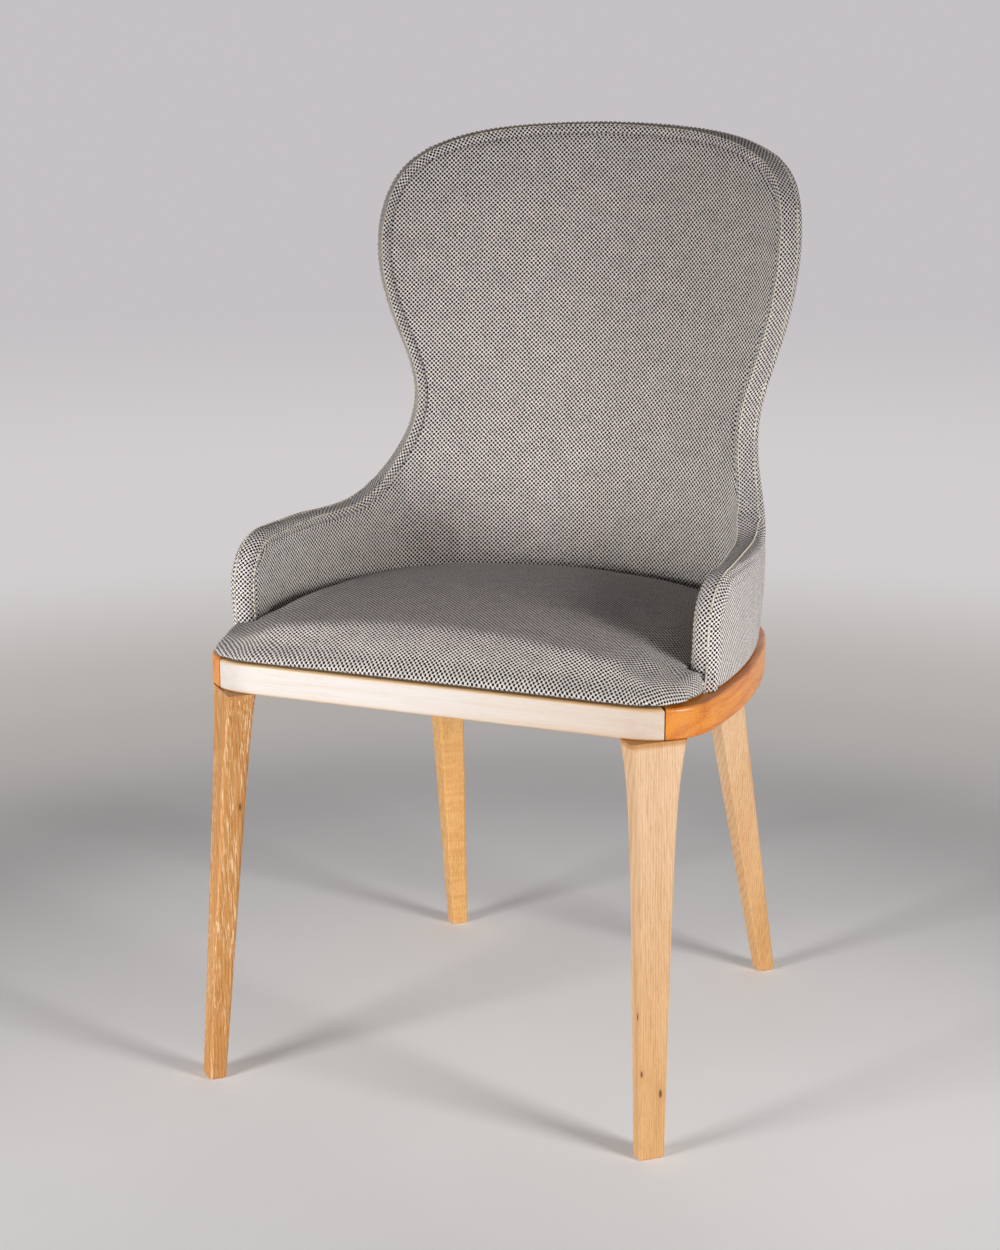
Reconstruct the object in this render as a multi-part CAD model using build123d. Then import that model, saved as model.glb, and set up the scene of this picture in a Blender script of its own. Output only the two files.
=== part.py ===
from build123d import *
import os
from math import asin, atan2, cos, degrees, exp, hypot, radians, sin, sqrt

# Upholstered dining chair on a bent wooden seat ring, in millimetres.
# X runs to the sitter's left, which is the viewer's right, the front faces -Y, and Z is up.
# The origin lies on the floor under the middle of the chair's outer box.

# Seat ring: plan outline of one front line and four kinds of arc, all tangent
RING_HALF_WIDTH = 260.0
RING_FRONT = -225.0
RING_REAR = 202.0
RING_WIDEST_Y = -110.0
RING_FRONT_CORNER_R = 62.0
RING_SIDE_R = 610.0
RING_REAR_CORNER_R = 110.0
RING_REAR_R = 360.0
RING_TOP = 422.0
RING_HEIGHT = 30.0
RING_WIDTH = 54.0
RING_EDGE_R = 3.0
FRONT_JOINT_ANGLE = -58.0
REAR_JOINT_ANGLE = 73.0
JOINT_GAP = 1.2
JOINT_BEVEL = 2.0

# Legs: every leg section stands at 45 degrees to the chair.
# A head is placed on a corner arc of the ring, and its foot by the splay from there.
LEG_TURN = 45.0
FRONT_LEG_ANGLE = -66.3
FRONT_LEG_INSET = 10.7
FRONT_LEG_SPLAY = (14.0, -35.0)
FRONT_FOOT_WIDTH = 25.0
FRONT_NECK_WIDTH = 38.0
FRONT_TOP_FLARE = 19.0
FRONT_FLARE_REACH = 45.0
FRONT_FOOT_THICKNESS = 18.0
FRONT_TOP_THICKNESS = 28.0
FRONT_LEG_STATIONS = 7
REAR_LEG_ANGLE = 66.0
REAR_LEG_INSET = 18.5
REAR_LEG_SPLAY = (29.0, 101.5)
REAR_FOOT_SIDE = 19.0
REAR_TOP_SIDE = 34.0
LEG_EDGE_R = 3.5
FOOT_CHAMFER = 1.5

# Leg fixings: one bolt in a threaded insert and one dowel to each leg, placed from the leg's axis
BOLT_SHANK_D = 6.0
BOLT_HEAD_D = 12.0
BOLT_HEAD_HEIGHT = 5.0
INSERT_D = 10.0
INSERT_LENGTH = 25.0
BOLT_REACH = 18.0
DOWEL_D = 8.0
DOWEL_LENGTH = 36.0
LEG_DOWEL_RISE = 13.0
RAIL_DOWEL_RISE = 19.0
FRONT_BOLT_SHIFT = (-4.0, -7.5)
FRONT_DOWEL_SHIFT = (20.0, -6.0)
REAR_BOLT_SHIFT = (-7.0, 0.0)
REAR_DOWEL_SHIFT = (8.0, 0.0)
RAIL_DOWEL_INSETS = (27.0, 44.0)
FIT = 0.15

# Corner blocks inside the ring, each with one screw up into the seat board
BLOCK_LEG = 62.0
BLOCK_HEIGHT = 24.0
BLOCK_GLUE = 0.1
SCREW_D = 4.5
SCREW_HEAD_D = 9.0
SCREW_HEAD_HEIGHT = 3.0
SCREW_BITE = 13.0

# Seat board and the dust cloth under the ring
BOARD_SHELL_GAP = 2.55
BOARD_THICKNESS = 18.0
DUST_CLOTH_INSET = 44.5
DUST_CLOTH_THICKNESS = 0.8

# Back shell: the ring outline moved in, leaning out evenly with a shallow draw-in at the lumbar
SHELL_INSET = 7.0
COVER_THICKNESS = 1.2
OUTER_PAD_THICKNESS = 3.5
PLY_THICKNESS = 8.0
PLY_SETBACK = 5.0
INNER_FOAM_THICKNESS = 11.1
LAYER_GAP = 0.25
SHELL_FLARE = 0.115
LUMBAR_DEPTH = 12.0
LUMBAR_HEIGHT = 135.0
LUMBAR_REACH = 70.0
LUMBAR_STEPS = (-1.6, -0.8, 0.0, 0.8, 1.6)
SHELL_SEAT_GAP = 0.3
SHELL_SPARE = 5.0
SHELL_RUNOUT = 3.0

# Front edge of the arms, seen from the side
ARM_SETBACK = 75.0
ARM_CORNER_R = 50.0
ARM_RISE = 106.0
BACK_RISE = 493.5

# Edge of one wing, cut through the shell along a heading in plan.
# Each point is (distance in from the ring's widest point, height).
# Heights are above the top of the arm, above the ring for the waist,
# and below the top of the back from the wing to the middle of the crest.
EDGE_HEADING = 57.0
EDGE_ARM = (78.0, -1.0)
EDGE_ARM_RISE = (126.0, 2.0)
EDGE_WAIST_LOW = (171.0, 35.0)
EDGE_WAIST = (203.0, 208.0)
EDGE_WING = (179.0, 195.5)
EDGE_SHOULDER = (167.0, 120.5)
EDGE_SHOULDER_TOP = (195.0, 48.5)
EDGE_CREST_SIDE = (244.0, 19.5)
EDGE_CREST_RISE = (324.0, 4.0)
EDGE_CREST = (401.0, -1.5)

# Shell screws: through the plywood into the edge of the seat board
SHELL_SCREW_D = 4.0
SHELL_SCREW_HEAD_D = 8.0
SHELL_SCREW_HEAD_HEIGHT = 2.0
SHELL_SCREW_LENGTH = 32.0
SHELL_SCREW_SETBACKS = (30.0, 130.0)
SHELL_SCREW_MIDDLE_GAP = 63.0
SHELL_SCREW_CORNER_GAP = 10.0

# Seat cushion: rolled walls under a ball-shaped crown, wider in front of the arms
CROWN_RISE = 51.0
CROWN_R = 1500.0
CROWN_SETBACK = 165.0
CUSHION_ARM_GAP = 2.0
CUSHION_SIDE_GAP = 1.0
WALL_PROFILE = ((0.4, 8.5), (12.0, 6.5), (28.0, 12.0), (41.0, 27.0), (56.0, 50.0))
SEAT_PROFILE = ((0.4, 1.0), (28.0, 1.0), (42.0, 7.0), (50.0, 15.0), (56.0, 22.0))

RING_BOTTOM = RING_TOP - RING_HEIGHT
BOARD_TOP = RING_TOP + BOARD_THICKNESS
ARM_FRONT = RING_FRONT + ARM_SETBACK
ARM_TOP = RING_TOP + ARM_RISE
BACK_TOP = RING_TOP + BACK_RISE
CROWN_TOP = RING_TOP + CROWN_RISE
CROWN_Y = RING_FRONT + CROWN_SETBACK
PAD_INSET = SHELL_INSET + COVER_THICKNESS + LAYER_GAP
PLY_INSET = PAD_INSET + OUTER_PAD_THICKNESS + LAYER_GAP
FOAM_INSET = PLY_INSET + PLY_THICKNESS + LAYER_GAP
BOARD_INSET = FOAM_INSET + BOARD_SHELL_GAP
LINING_INSET = FOAM_INSET + INNER_FOAM_THICKNESS + LAYER_GAP
SHELL_INNER = LINING_INSET + COVER_THICKNESS

# Arc centres of the ring outline, right half
SIDE_CENTRE = (RING_HALF_WIDTH - RING_SIDE_R, RING_WIDEST_Y)
FRONT_CENTRE_Y = RING_FRONT + RING_FRONT_CORNER_R
FRONT_CENTRE_X = SIDE_CENTRE[0] + sqrt(
    (RING_SIDE_R - RING_FRONT_CORNER_R) ** 2 - (FRONT_CENTRE_Y - RING_WIDEST_Y) ** 2
)
FRONT_CENTRE = (FRONT_CENTRE_X, FRONT_CENTRE_Y)
REAR_CENTRE = (0.0, RING_REAR - RING_REAR_R)


def circle_meet(first, first_r, second, second_r):
    """Right-hand meeting point of two circles."""
    across = (second[0] - first[0], second[1] - first[1])
    distance = hypot(*across)
    along = (first_r**2 - second_r**2 + distance**2) / (2 * distance)
    off = sqrt(first_r**2 - along**2)
    unit = (across[0] / distance, across[1] / distance)
    foot = (first[0] + along * unit[0], first[1] + along * unit[1])
    options = [
        (foot[0] - off * unit[1], foot[1] + off * unit[0]),
        (foot[0] + off * unit[1], foot[1] - off * unit[0]),
    ]
    return max(options, key=lambda point: point[1])


REAR_CORNER_CENTRE = circle_meet(
    SIDE_CENTRE,
    RING_SIDE_R - RING_REAR_CORNER_R,
    REAR_CENTRE,
    RING_REAR_R - RING_REAR_CORNER_R,
)


def heading(start, end):
    """Angle in degrees of the line from start to end."""
    return degrees(atan2(end[1] - start[1], end[0] - start[0]))


SIDE_START = heading(SIDE_CENTRE, FRONT_CENTRE)
SIDE_END = heading(SIDE_CENTRE, REAR_CORNER_CENTRE)
REAR_START = heading(REAR_CENTRE, REAR_CORNER_CENTRE)


def polar(centre, radius, angle):
    """Point at an angle in degrees on a circle."""
    return (centre[0] + radius * cos(radians(angle)), centre[1] + radius * sin(radians(angle)))


FRONT_LEG_TOP = polar(FRONT_CENTRE, RING_FRONT_CORNER_R - FRONT_LEG_INSET, FRONT_LEG_ANGLE)
REAR_LEG_TOP = polar(REAR_CORNER_CENTRE, RING_REAR_CORNER_R - REAR_LEG_INSET, REAR_LEG_ANGLE)


def mirrored(points):
    """Points reflected to the other side of the chair, in reverse order."""
    return [(-x, y) for x, y in reversed(points)]


def arc_points(centre, radius, start, end):
    """Start, middle and end of an arc."""
    return [polar(centre, radius, angle) for angle in (start, (start + end) / 2, end)]


def arcs_to_edges(arcs):
    """Three-point arcs as edges."""
    return [ThreePointArc(*arc) for arc in arcs]


def rear_arcs(inset, side_start):
    """Arcs of the outline from the right side round the back to the left side."""
    side = arc_points(SIDE_CENTRE, RING_SIDE_R - inset, side_start, SIDE_END)
    corner = arc_points(REAR_CORNER_CENTRE, RING_REAR_CORNER_R - inset, SIDE_END, REAR_START)
    end = corner[-1]
    rear = [end, (0.0, RING_REAR - inset), (-end[0], end[1])]
    return [side, corner, rear, mirrored(corner), mirrored(side)]


def ring_face(inset):
    """Whole ring outline, moved inward, as a face."""
    front = arc_points(FRONT_CENTRE, RING_FRONT_CORNER_R - inset, -90, SIDE_START)
    arcs = [front] + rear_arcs(inset, SIDE_START) + [mirrored(front)]
    return Face(Wire(arcs_to_edges(arcs) + [Line(arcs[-1][-1], arcs[0][0])]))


def shell_face(inset):
    """Outline of the space inside the shell, closed by a line across the front."""
    arcs = rear_arcs(inset, SIDE_START - SHELL_RUNOUT)
    return Face(Wire(arcs_to_edges(arcs) + [Line(arcs[-1][-1], arcs[0][0])]))


def slab(face, bottom, top):
    """Upright block of a plan face."""
    return extrude(Pos(0, 0, bottom) * face, amount=top - bottom, dir=(0, 0, 1))


def shell_growth(height):
    """How far the shell has leaned out at a height above the ring."""
    draw_in = LUMBAR_DEPTH * exp(-(((height - LUMBAR_HEIGHT) / LUMBAR_REACH) ** 2))
    return SHELL_FLARE * height - draw_in


def shell_core(inset, trim=0.0):
    """Solid space inside the leaning surface that starts at an inset from the ring."""
    levels = [LUMBAR_HEIGHT + step * LUMBAR_REACH for step in LUMBAR_STEPS]
    faces = []
    for height in [SHELL_SEAT_GAP] + levels + [BACK_TOP - trim - RING_TOP]:
        faces.append(Pos(0, 0, RING_TOP + height) * shell_face(inset - shell_growth(height)))
    return loft(faces, ruled=True)


def moved_in(points, amount):
    """Open row of points moved to its right-hand side by an amount."""
    result = []
    for index, point in enumerate(points):
        before = points[max(index - 1, 0)]
        after = points[min(index + 1, len(points) - 1)]
        run = (after[0] - before[0], after[1] - before[1])
        length = hypot(*run)
        result.append((point[0] + amount * run[1] / length, point[1] - amount * run[0] / length))
    return result


def arm_cutter(trim):
    """Everything ahead of the front edge of the arms, moved back by an amount."""
    front = ARM_FRONT + trim
    start = (front, RING_BOTTOM)
    corner_start = (front, ARM_TOP - ARM_CORNER_R)
    corner_end = (ARM_FRONT + ARM_CORNER_R, ARM_TOP - trim)
    bend = (ARM_CORNER_R - trim) * cos(radians(45))
    corner_mid = (corner_end[0] - bend, corner_start[1] + bend)
    top = 2 * BACK_TOP
    ahead = 2 * RING_FRONT
    with BuildSketch(Plane.YZ) as sketch:
        with BuildLine():
            Line(start, corner_start)
            ThreePointArc(corner_start, corner_mid, corner_end)
            Polyline(corner_end, (corner_end[0], top), (ahead, top), (ahead, RING_BOTTOM), start)
        make_face()
    return extrude(sketch.sketch, amount=2 * RING_HALF_WIDTH, both=True)


def wing_cutter(trim):
    """Everything outside the cut edge of the right wing and arm, moved in by an amount."""
    row = [(-inward, ARM_TOP + rise) for inward, rise in (EDGE_ARM, EDGE_ARM_RISE, EDGE_WAIST_LOW)]
    row.append((-EDGE_WAIST[0], RING_TOP + EDGE_WAIST[1]))
    for inward, drop in (
        EDGE_WING,
        EDGE_SHOULDER,
        EDGE_SHOULDER_TOP,
        EDGE_CREST_SIDE,
        EDGE_CREST_RISE,
        EDGE_CREST,
    ):
        row.append((-inward, BACK_TOP - drop))
    start = (row[0][0], row[0][1] - trim)
    end = (row[-1][0], row[-1][1] - trim)
    row = [start] + moved_in(row, -trim)[1:-1] + [end]
    wide = 2 * RING_HALF_WIDTH
    top = 2 * BACK_TOP
    across = radians(EDGE_HEADING - 90)
    plane = Plane(
        origin=(RING_HALF_WIDTH, RING_WIDEST_Y, 0),
        x_dir=(cos(across), sin(across), 0),
        z_dir=(sin(across), -cos(across), 0),
    )
    with BuildSketch(plane) as sketch:
        with BuildLine():
            Spline(*row)
            Polyline(row[-1], (row[-1][0], top), (wide, top), (wide, row[0][1]), row[0])
        make_face()
    return extrude(sketch.sketch, amount=2 * RING_HALF_WIDTH, both=True)


def shell_layer(outer, inner, trim):
    """Layer of the back between two insets, cut to the outline of wings and arms."""
    wing = wing_cutter(trim)
    layer = shell_core(outer, trim) - shell_core(inner, trim)
    return layer - arm_cutter(trim) - wing - mirror(wing, about=Plane.YZ)


def front_leg(side):
    """Front leg with a flared head, on the side given by -1 or 1."""
    faces = []
    for station in range(FRONT_LEG_STATIONS + 1):
        drop = RING_BOTTOM * (station / FRONT_LEG_STATIONS) ** 2
        share = 1 - drop / RING_BOTTOM
        width = FRONT_FOOT_WIDTH + (FRONT_NECK_WIDTH - FRONT_FOOT_WIDTH) * share
        width += FRONT_TOP_FLARE * exp(-drop / FRONT_FLARE_REACH)
        thickness = FRONT_FOOT_THICKNESS + (FRONT_TOP_THICKNESS - FRONT_FOOT_THICKNESS) * share
        x = FRONT_LEG_TOP[0] + FRONT_LEG_SPLAY[0] * (1 - share)
        y = FRONT_LEG_TOP[1] + FRONT_LEG_SPLAY[1] * (1 - share)
        place = Pos(side * x, y, RING_BOTTOM - drop) * Rot(0, 0, side * LEG_TURN)
        faces.append(place * RectangleRounded(width, thickness, LEG_EDGE_R).face())
    return loft(faces)


def rear_leg(side):
    """Straight tapered rear leg, on the side given by -1 or 1."""
    foot = (REAR_LEG_TOP[0] + REAR_LEG_SPLAY[0], REAR_LEG_TOP[1] + REAR_LEG_SPLAY[1])
    faces = []
    for spot, height, width in (
        (REAR_LEG_TOP, RING_BOTTOM, REAR_TOP_SIDE),
        (foot, 0, REAR_FOOT_SIDE),
    ):
        place = Pos(side * spot[0], spot[1], height) * Rot(0, 0, side * LEG_TURN)
        faces.append(place * RectangleRounded(width, width, LEG_EDGE_R).face())
    return loft(faces, ruled=True)


def chamfered_foot(leg):
    """Leg with the edge of its foot taken off."""
    return chamfer(leg.faces().sort_by(Axis.Z)[0].edges(), FOOT_CHAMFER)


def fixing_spot(top, shift, side):
    """Plan point of a leg fixing, shifted along and across the turned leg section."""
    along = (cos(radians(LEG_TURN)), sin(radians(LEG_TURN)))
    x = top[0] + shift[0] * along[0] + shift[1] * along[1]
    y = top[1] + shift[0] * along[1] - shift[1] * along[0]
    return (side * x, y)


def upright(spot, diameter, bottom, top):
    """Upright round bar."""
    height = top - bottom
    return Pos(spot[0], spot[1], bottom + height / 2) * Cylinder(diameter / 2, height)


def bolt(spot, play=0.0):
    """Leg bolt with its head sunk in the ring top, or the hole for it."""
    head_bottom = RING_TOP - BOLT_HEAD_HEIGHT - play
    shank = upright(spot, BOLT_SHANK_D + 2 * play, RING_BOTTOM - BOLT_REACH - play, head_bottom)
    return shank + upright(spot, BOLT_HEAD_D + 2 * play, head_bottom, RING_TOP)


def insert(spot, play=0.0):
    """Threaded sleeve in the head of a leg, or the hole for it."""
    return upright(spot, INSERT_D + 2 * play, RING_BOTTOM - INSERT_LENGTH, RING_BOTTOM)


def leg_dowel(spot, play=0.0):
    """Dowel shared between a leg and the ring, or the hole for it."""
    high = RING_BOTTOM + LEG_DOWEL_RISE
    return upright(spot, DOWEL_D + 2 * play, high - DOWEL_LENGTH - play, high + play)


def rail_dowels(centre, radius, angle, play=0.0):
    """Pair of dowels lying across a joint of the ring, on the right side."""
    bars = []
    for inset in RAIL_DOWEL_INSETS:
        x, y = polar(centre, radius - inset, angle)
        place = Pos(x, y, RING_BOTTOM + RAIL_DOWEL_RISE) * Rot(0, 0, angle + 90) * Rot(0, 90, 0)
        bars.append(place * Cylinder(DOWEL_D / 2 + play, DOWEL_LENGTH + 2 * play))
    return bars


def both_sides(solids):
    """Solids and their mirror images across the middle of the chair."""
    return solids + [mirror(solid, about=Plane.YZ) for solid in solids]


def fan(centre, angle, inner, outer):
    """Wedge of the plan between an angle on the right and its mirror on the left."""
    right = [polar(centre, inner, angle), polar(centre, outer, angle)]
    points = right + mirrored(right)
    return slab(make_face(Polyline(*points, close=True)), RING_BOTTOM, RING_TOP)


def joint_fans(gap):
    """Front and rear wedges that part the ring, opened by a gap at each joint."""
    front_turn = degrees(asin(gap / RING_FRONT_CORNER_R))
    rear_turn = degrees(asin(gap / RING_REAR_R))
    front = fan(FRONT_CENTRE, FRONT_JOINT_ANGLE + front_turn, 0, 2 * RING_FRONT_CORNER_R)
    rear = fan(REAR_CENTRE, REAR_JOINT_ANGLE - rear_turn, RING_REAR_R / 2, 2 * RING_REAR_R)
    return front, rear


def joint_bevels():
    """Grooves that ease the top edges of the front joints."""
    x, y = polar(FRONT_CENTRE, RING_FRONT_CORNER_R - RING_WIDTH / 2, FRONT_JOINT_ANGLE)
    side = JOINT_BEVEL * sqrt(2)
    bar = Rot(0, 0, FRONT_JOINT_ANGLE) * Rot(45, 0, 0) * Box(2 * RING_WIDTH, side, side)
    return both_sides([Pos(x, y, RING_TOP) * bar])


def corner_block(x_sign, y_sign):
    """Block glued into an inner corner of the ring."""
    room = ring_face(RING_WIDTH + BLOCK_GLUE)
    box = room.bounding_box()
    if y_sign < 0:
        corner = (box.max.X, box.min.Y)
    else:
        corner = polar(REAR_CORNER_CENTRE, RING_REAR_CORNER_R - RING_WIDTH, LEG_TURN)
        corner = (corner[0] + BLOCK_LEG / 4, corner[1] + BLOCK_LEG / 4)
    points = [
        (x_sign * corner[0], corner[1]),
        (x_sign * (corner[0] - BLOCK_LEG), corner[1]),
        (x_sign * corner[0], corner[1] - y_sign * BLOCK_LEG),
    ]
    triangle = make_face(Polyline(*points, close=True))
    return slab(room & triangle, RING_TOP - BLOCK_HEIGHT, RING_TOP)


def board_screw(spot, play=0.0):
    """Screw up through a corner block into the seat board, or the hole for it."""
    low = RING_TOP - BLOCK_HEIGHT
    head = upright(spot, SCREW_HEAD_D + 2 * play, low, low + SCREW_HEAD_HEIGHT + play)
    return head + upright(spot, SCREW_D + 2 * play, low + SCREW_HEAD_HEIGHT, RING_TOP + SCREW_BITE + play)


def shell_screw(centre, radius, angle, play=0.0):
    """Screw through the plywood into the edge of the board, heading at the arc's centre."""
    height = BOARD_THICKNESS / 2
    x, y = polar(centre, radius - PLY_INSET + shell_growth(height), angle)
    place = Pos(x, y, RING_TOP + height) * Rot(0, 0, angle) * Rot(0, -90, 0)
    head = Cylinder(SHELL_SCREW_HEAD_D / 2 + play, SHELL_SCREW_HEAD_HEIGHT + play)
    shank = Cylinder(SHELL_SCREW_D / 2 + play, SHELL_SCREW_LENGTH + play)
    sunk = Pos(0, 0, SHELL_SCREW_HEAD_HEIGHT / 2) * head + Pos(0, 0, SHELL_SCREW_LENGTH / 2) * shank
    return place * Pos(0, 0, SHELL_SCREW_HEAD_HEIGHT) * sunk


def all_shell_screws(play=0.0):
    """All screws that hold the plywood shell to the seat board."""
    right = []
    for setback in SHELL_SCREW_SETBACKS:
        angle = degrees(asin((ARM_FRONT + setback - SIDE_CENTRE[1]) / RING_SIDE_R))
        right.append(shell_screw(SIDE_CENTRE, RING_SIDE_R, angle, play))
    middle = 90 - degrees(SHELL_SCREW_MIDDLE_GAP / RING_REAR_R)
    for angle in (middle, REAR_START + degrees(SHELL_SCREW_CORNER_GAP / RING_REAR_R)):
        right.append(shell_screw(REAR_CENTRE, RING_REAR_R, angle, play))
    return both_sides(right)


def cushion(shrink=0.0):
    """Crowned seat cushion, T-shaped in plan, shrunk on every side but its base."""
    walls = []
    for rise, inset in WALL_PROFILE:
        walls.append(Pos(0, 0, RING_TOP + rise) * ring_face(inset + shrink))
    middle = []
    for rise, inset in SEAT_PROFILE:
        inner = SHELL_INNER + inset - shell_growth(rise)
        middle.append(Pos(0, 0, RING_TOP + rise) * ring_face(inner + shrink))
    size = 2 * RING_HALF_WIDTH
    ahead = Pos(0, ARM_FRONT - CUSHION_ARM_GAP - shrink - size / 2, RING_TOP) * Box(size, size, size)
    crown = Pos(0, CROWN_Y, CROWN_TOP - shrink - CROWN_R) * Sphere(CROWN_R)
    room = shell_core(SHELL_INNER + CUSHION_SIDE_GAP + shrink)
    shape = (loft(walls) & ahead) + (loft(middle) & room)
    return (shape & crown) - slab(ring_face(BOARD_INSET - FIT), RING_TOP, BOARD_TOP)


def save(name, solids):
    """Write one node, which is a solid or a group of solids."""
    shape = Compound(children=list(solids)) if isinstance(solids, list) else solids
    export_step(shape, os.path.join("parts", name + ".step"))


os.makedirs("parts", exist_ok=True)

# Fixings and the holes they need
front_bolt_spots = [fixing_spot(FRONT_LEG_TOP, FRONT_BOLT_SHIFT, side) for side in (-1, 1)]
rear_bolt_spots = [fixing_spot(REAR_LEG_TOP, REAR_BOLT_SHIFT, side) for side in (-1, 1)]
bolt_spots = front_bolt_spots + rear_bolt_spots
front_dowel_spots = [fixing_spot(FRONT_LEG_TOP, FRONT_DOWEL_SHIFT, side) for side in (-1, 1)]
rear_dowel_spots = [fixing_spot(REAR_LEG_TOP, REAR_DOWEL_SHIFT, side) for side in (-1, 1)]
dowel_spots = front_dowel_spots + rear_dowel_spots
bolts = [bolt(spot) for spot in bolt_spots]
inserts = [insert(spot) - bolt(spot, FIT) for spot in bolt_spots]
leg_dowels = [leg_dowel(spot) for spot in dowel_spots]


def ring_dowels(play=0.0):
    """All dowels across the joints of the ring."""
    front = rail_dowels(FRONT_CENTRE, RING_FRONT_CORNER_R, FRONT_JOINT_ANGLE, play)
    return both_sides(front + rail_dowels(REAR_CENTRE, RING_REAR_R, REAR_JOINT_ANGLE, play))


# Seat ring in four pieces
ring = slab(ring_face(0) - ring_face(RING_WIDTH), RING_BOTTOM, RING_TOP)
outer_edges = ring.faces().filter_by(Axis.Z)
top_edge = outer_edges.sort_by(Axis.Z)[-1].outer_wire().edges()
bottom_edge = outer_edges.sort_by(Axis.Z)[0].outer_wire().edges()
ring = fillet(list(top_edge) + list(bottom_edge), RING_EDGE_R)
for spot in bolt_spots:
    ring -= bolt(spot, FIT)
for spot in dowel_spots:
    ring -= leg_dowel(spot, FIT)
for bar in ring_dowels(FIT) + joint_bevels():
    ring -= bar
front_fan, rear_fan = joint_fans(0)
front_gap, rear_gap = joint_fans(JOINT_GAP)
sides = (ring - front_gap - rear_gap).solids().sort_by(Axis.X)
save("front_rail", ring & front_fan)
save("rear_rail", ring & rear_fan)
save("left_side_rail", sides[0])
save("right_side_rail", sides[-1])
save("rail_dowels", ring_dowels())

# Legs with their bolts, inserts and dowels
for name, side, maker, bolt_spot, dowel_spot in (
    ("front_left_leg", -1, front_leg, front_bolt_spots[0], front_dowel_spots[0]),
    ("front_right_leg", 1, front_leg, front_bolt_spots[1], front_dowel_spots[1]),
    ("rear_left_leg", -1, rear_leg, rear_bolt_spots[0], rear_dowel_spots[0]),
    ("rear_right_leg", 1, rear_leg, rear_bolt_spots[1], rear_dowel_spots[1]),
):
    leg = chamfered_foot(maker(side))
    save(name, leg - insert(bolt_spot, FIT) - leg_dowel(dowel_spot, FIT))
save("leg_bolts", bolts)
save("leg_inserts", inserts)
save("leg_dowels", leg_dowels)

# Corner blocks and the screws that rise through them into the seat board
blocks = {}
for end, y_sign in (("front", -1), ("rear", 1)):
    for hand, x_sign in (("left", -1), ("right", 1)):
        blocks[f"{end}_{hand}_corner_block"] = corner_block(x_sign, y_sign)
screw_spots = [(block.center().X, block.center().Y) for block in blocks.values()]
for spot, (name, block) in zip(screw_spots, blocks.items()):
    save(name, block - board_screw(spot, FIT))
save("seat_board_screws", [board_screw(spot) for spot in screw_spots])

# Seat board and dust cloth
board = slab(ring_face(BOARD_INSET), RING_TOP, BOARD_TOP)
for spot in screw_spots:
    board -= board_screw(spot, FIT)
for bar in all_shell_screws(FIT):
    board -= bar
save("seat_board", board)
save("dust_cloth", slab(ring_face(DUST_CLOTH_INSET), RING_BOTTOM - DUST_CLOTH_THICKNESS, RING_BOTTOM))

# Back shell: plywood core, padding inside and outside, covers and the band round the edge
band = COVER_THICKNESS + LAYER_GAP
below_seat = slab(ring_face(RING_EDGE_R), RING_BOTTOM, BOARD_TOP + SHELL_SEAT_GAP)
board_room = slab(ring_face(BOARD_INSET - FIT), RING_TOP, BOARD_TOP)
outer_cover = shell_layer(SHELL_INSET, PAD_INSET - LAYER_GAP, band)
outer_pad = shell_layer(PAD_INSET, PLY_INSET - LAYER_GAP, band)
ply = shell_layer(PLY_INSET, FOAM_INSET - LAYER_GAP, band + PLY_SETBACK)
foam = shell_layer(FOAM_INSET, LINING_INSET - LAYER_GAP, band) - below_seat
lining = shell_layer(LINING_INSET, SHELL_INNER, band) - below_seat
filling = shell_layer(SHELL_INSET - SHELL_SPARE, SHELL_INNER + SHELL_SPARE, COVER_THICKNESS)
edge_band = shell_layer(SHELL_INSET, SHELL_INNER, 0) - filling - board_room
for bar in all_shell_screws(FIT):
    ply -= bar
save("back_shell", ply)
save("outside_back_padding", outer_pad)
save("inside_back_foam", foam)
save("inside_back_cover", lining)
save("outside_back_cover", outer_cover)
save("edge_band", edge_band)
save("back_shell_screws", all_shell_screws())

# Seat cushion
seat_foam = cushion(COVER_THICKNESS + LAYER_GAP)
save("seat_foam", seat_foam)
save("seat_cover", cushion() - cushion(COVER_THICKNESS))
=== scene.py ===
"""Upholstered dining chair: cloth, stitching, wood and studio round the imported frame."""

import logging
import math
from dataclasses import dataclass, field
from enum import Enum
from typing import Any, Sequence

import bmesh
import bpy
import numpy as np
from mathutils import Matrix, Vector
from mathutils.geometry import delaunay_2d_cdt


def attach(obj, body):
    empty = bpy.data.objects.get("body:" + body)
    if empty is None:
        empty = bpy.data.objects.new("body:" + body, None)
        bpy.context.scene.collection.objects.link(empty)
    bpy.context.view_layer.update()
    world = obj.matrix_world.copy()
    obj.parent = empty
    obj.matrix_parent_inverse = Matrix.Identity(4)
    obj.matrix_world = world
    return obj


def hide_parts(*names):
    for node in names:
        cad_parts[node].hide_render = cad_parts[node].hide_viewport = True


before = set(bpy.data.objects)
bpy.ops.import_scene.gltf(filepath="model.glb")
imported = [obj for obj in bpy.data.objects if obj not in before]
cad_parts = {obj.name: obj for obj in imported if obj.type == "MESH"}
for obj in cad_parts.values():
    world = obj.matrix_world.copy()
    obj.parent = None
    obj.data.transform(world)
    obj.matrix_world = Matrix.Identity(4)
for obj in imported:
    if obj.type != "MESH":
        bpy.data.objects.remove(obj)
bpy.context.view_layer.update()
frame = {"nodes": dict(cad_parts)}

LOG = logging.getLogger("chair")
WEAVE_MAP = "weave"
BODY = "root"
FLOAT, COLOUR, VECTOR = ("NodeSocket" + kind for kind in ("Float", "Color", "Vector"))
TINY = 1e-6
Array = np.ndarray
Colour = tuple[float, float, float]
Knot = tuple[float, float, float, float]
Socket = bpy.types.NodeSocket
Value = Any


# Colour and mesh helpers


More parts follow.
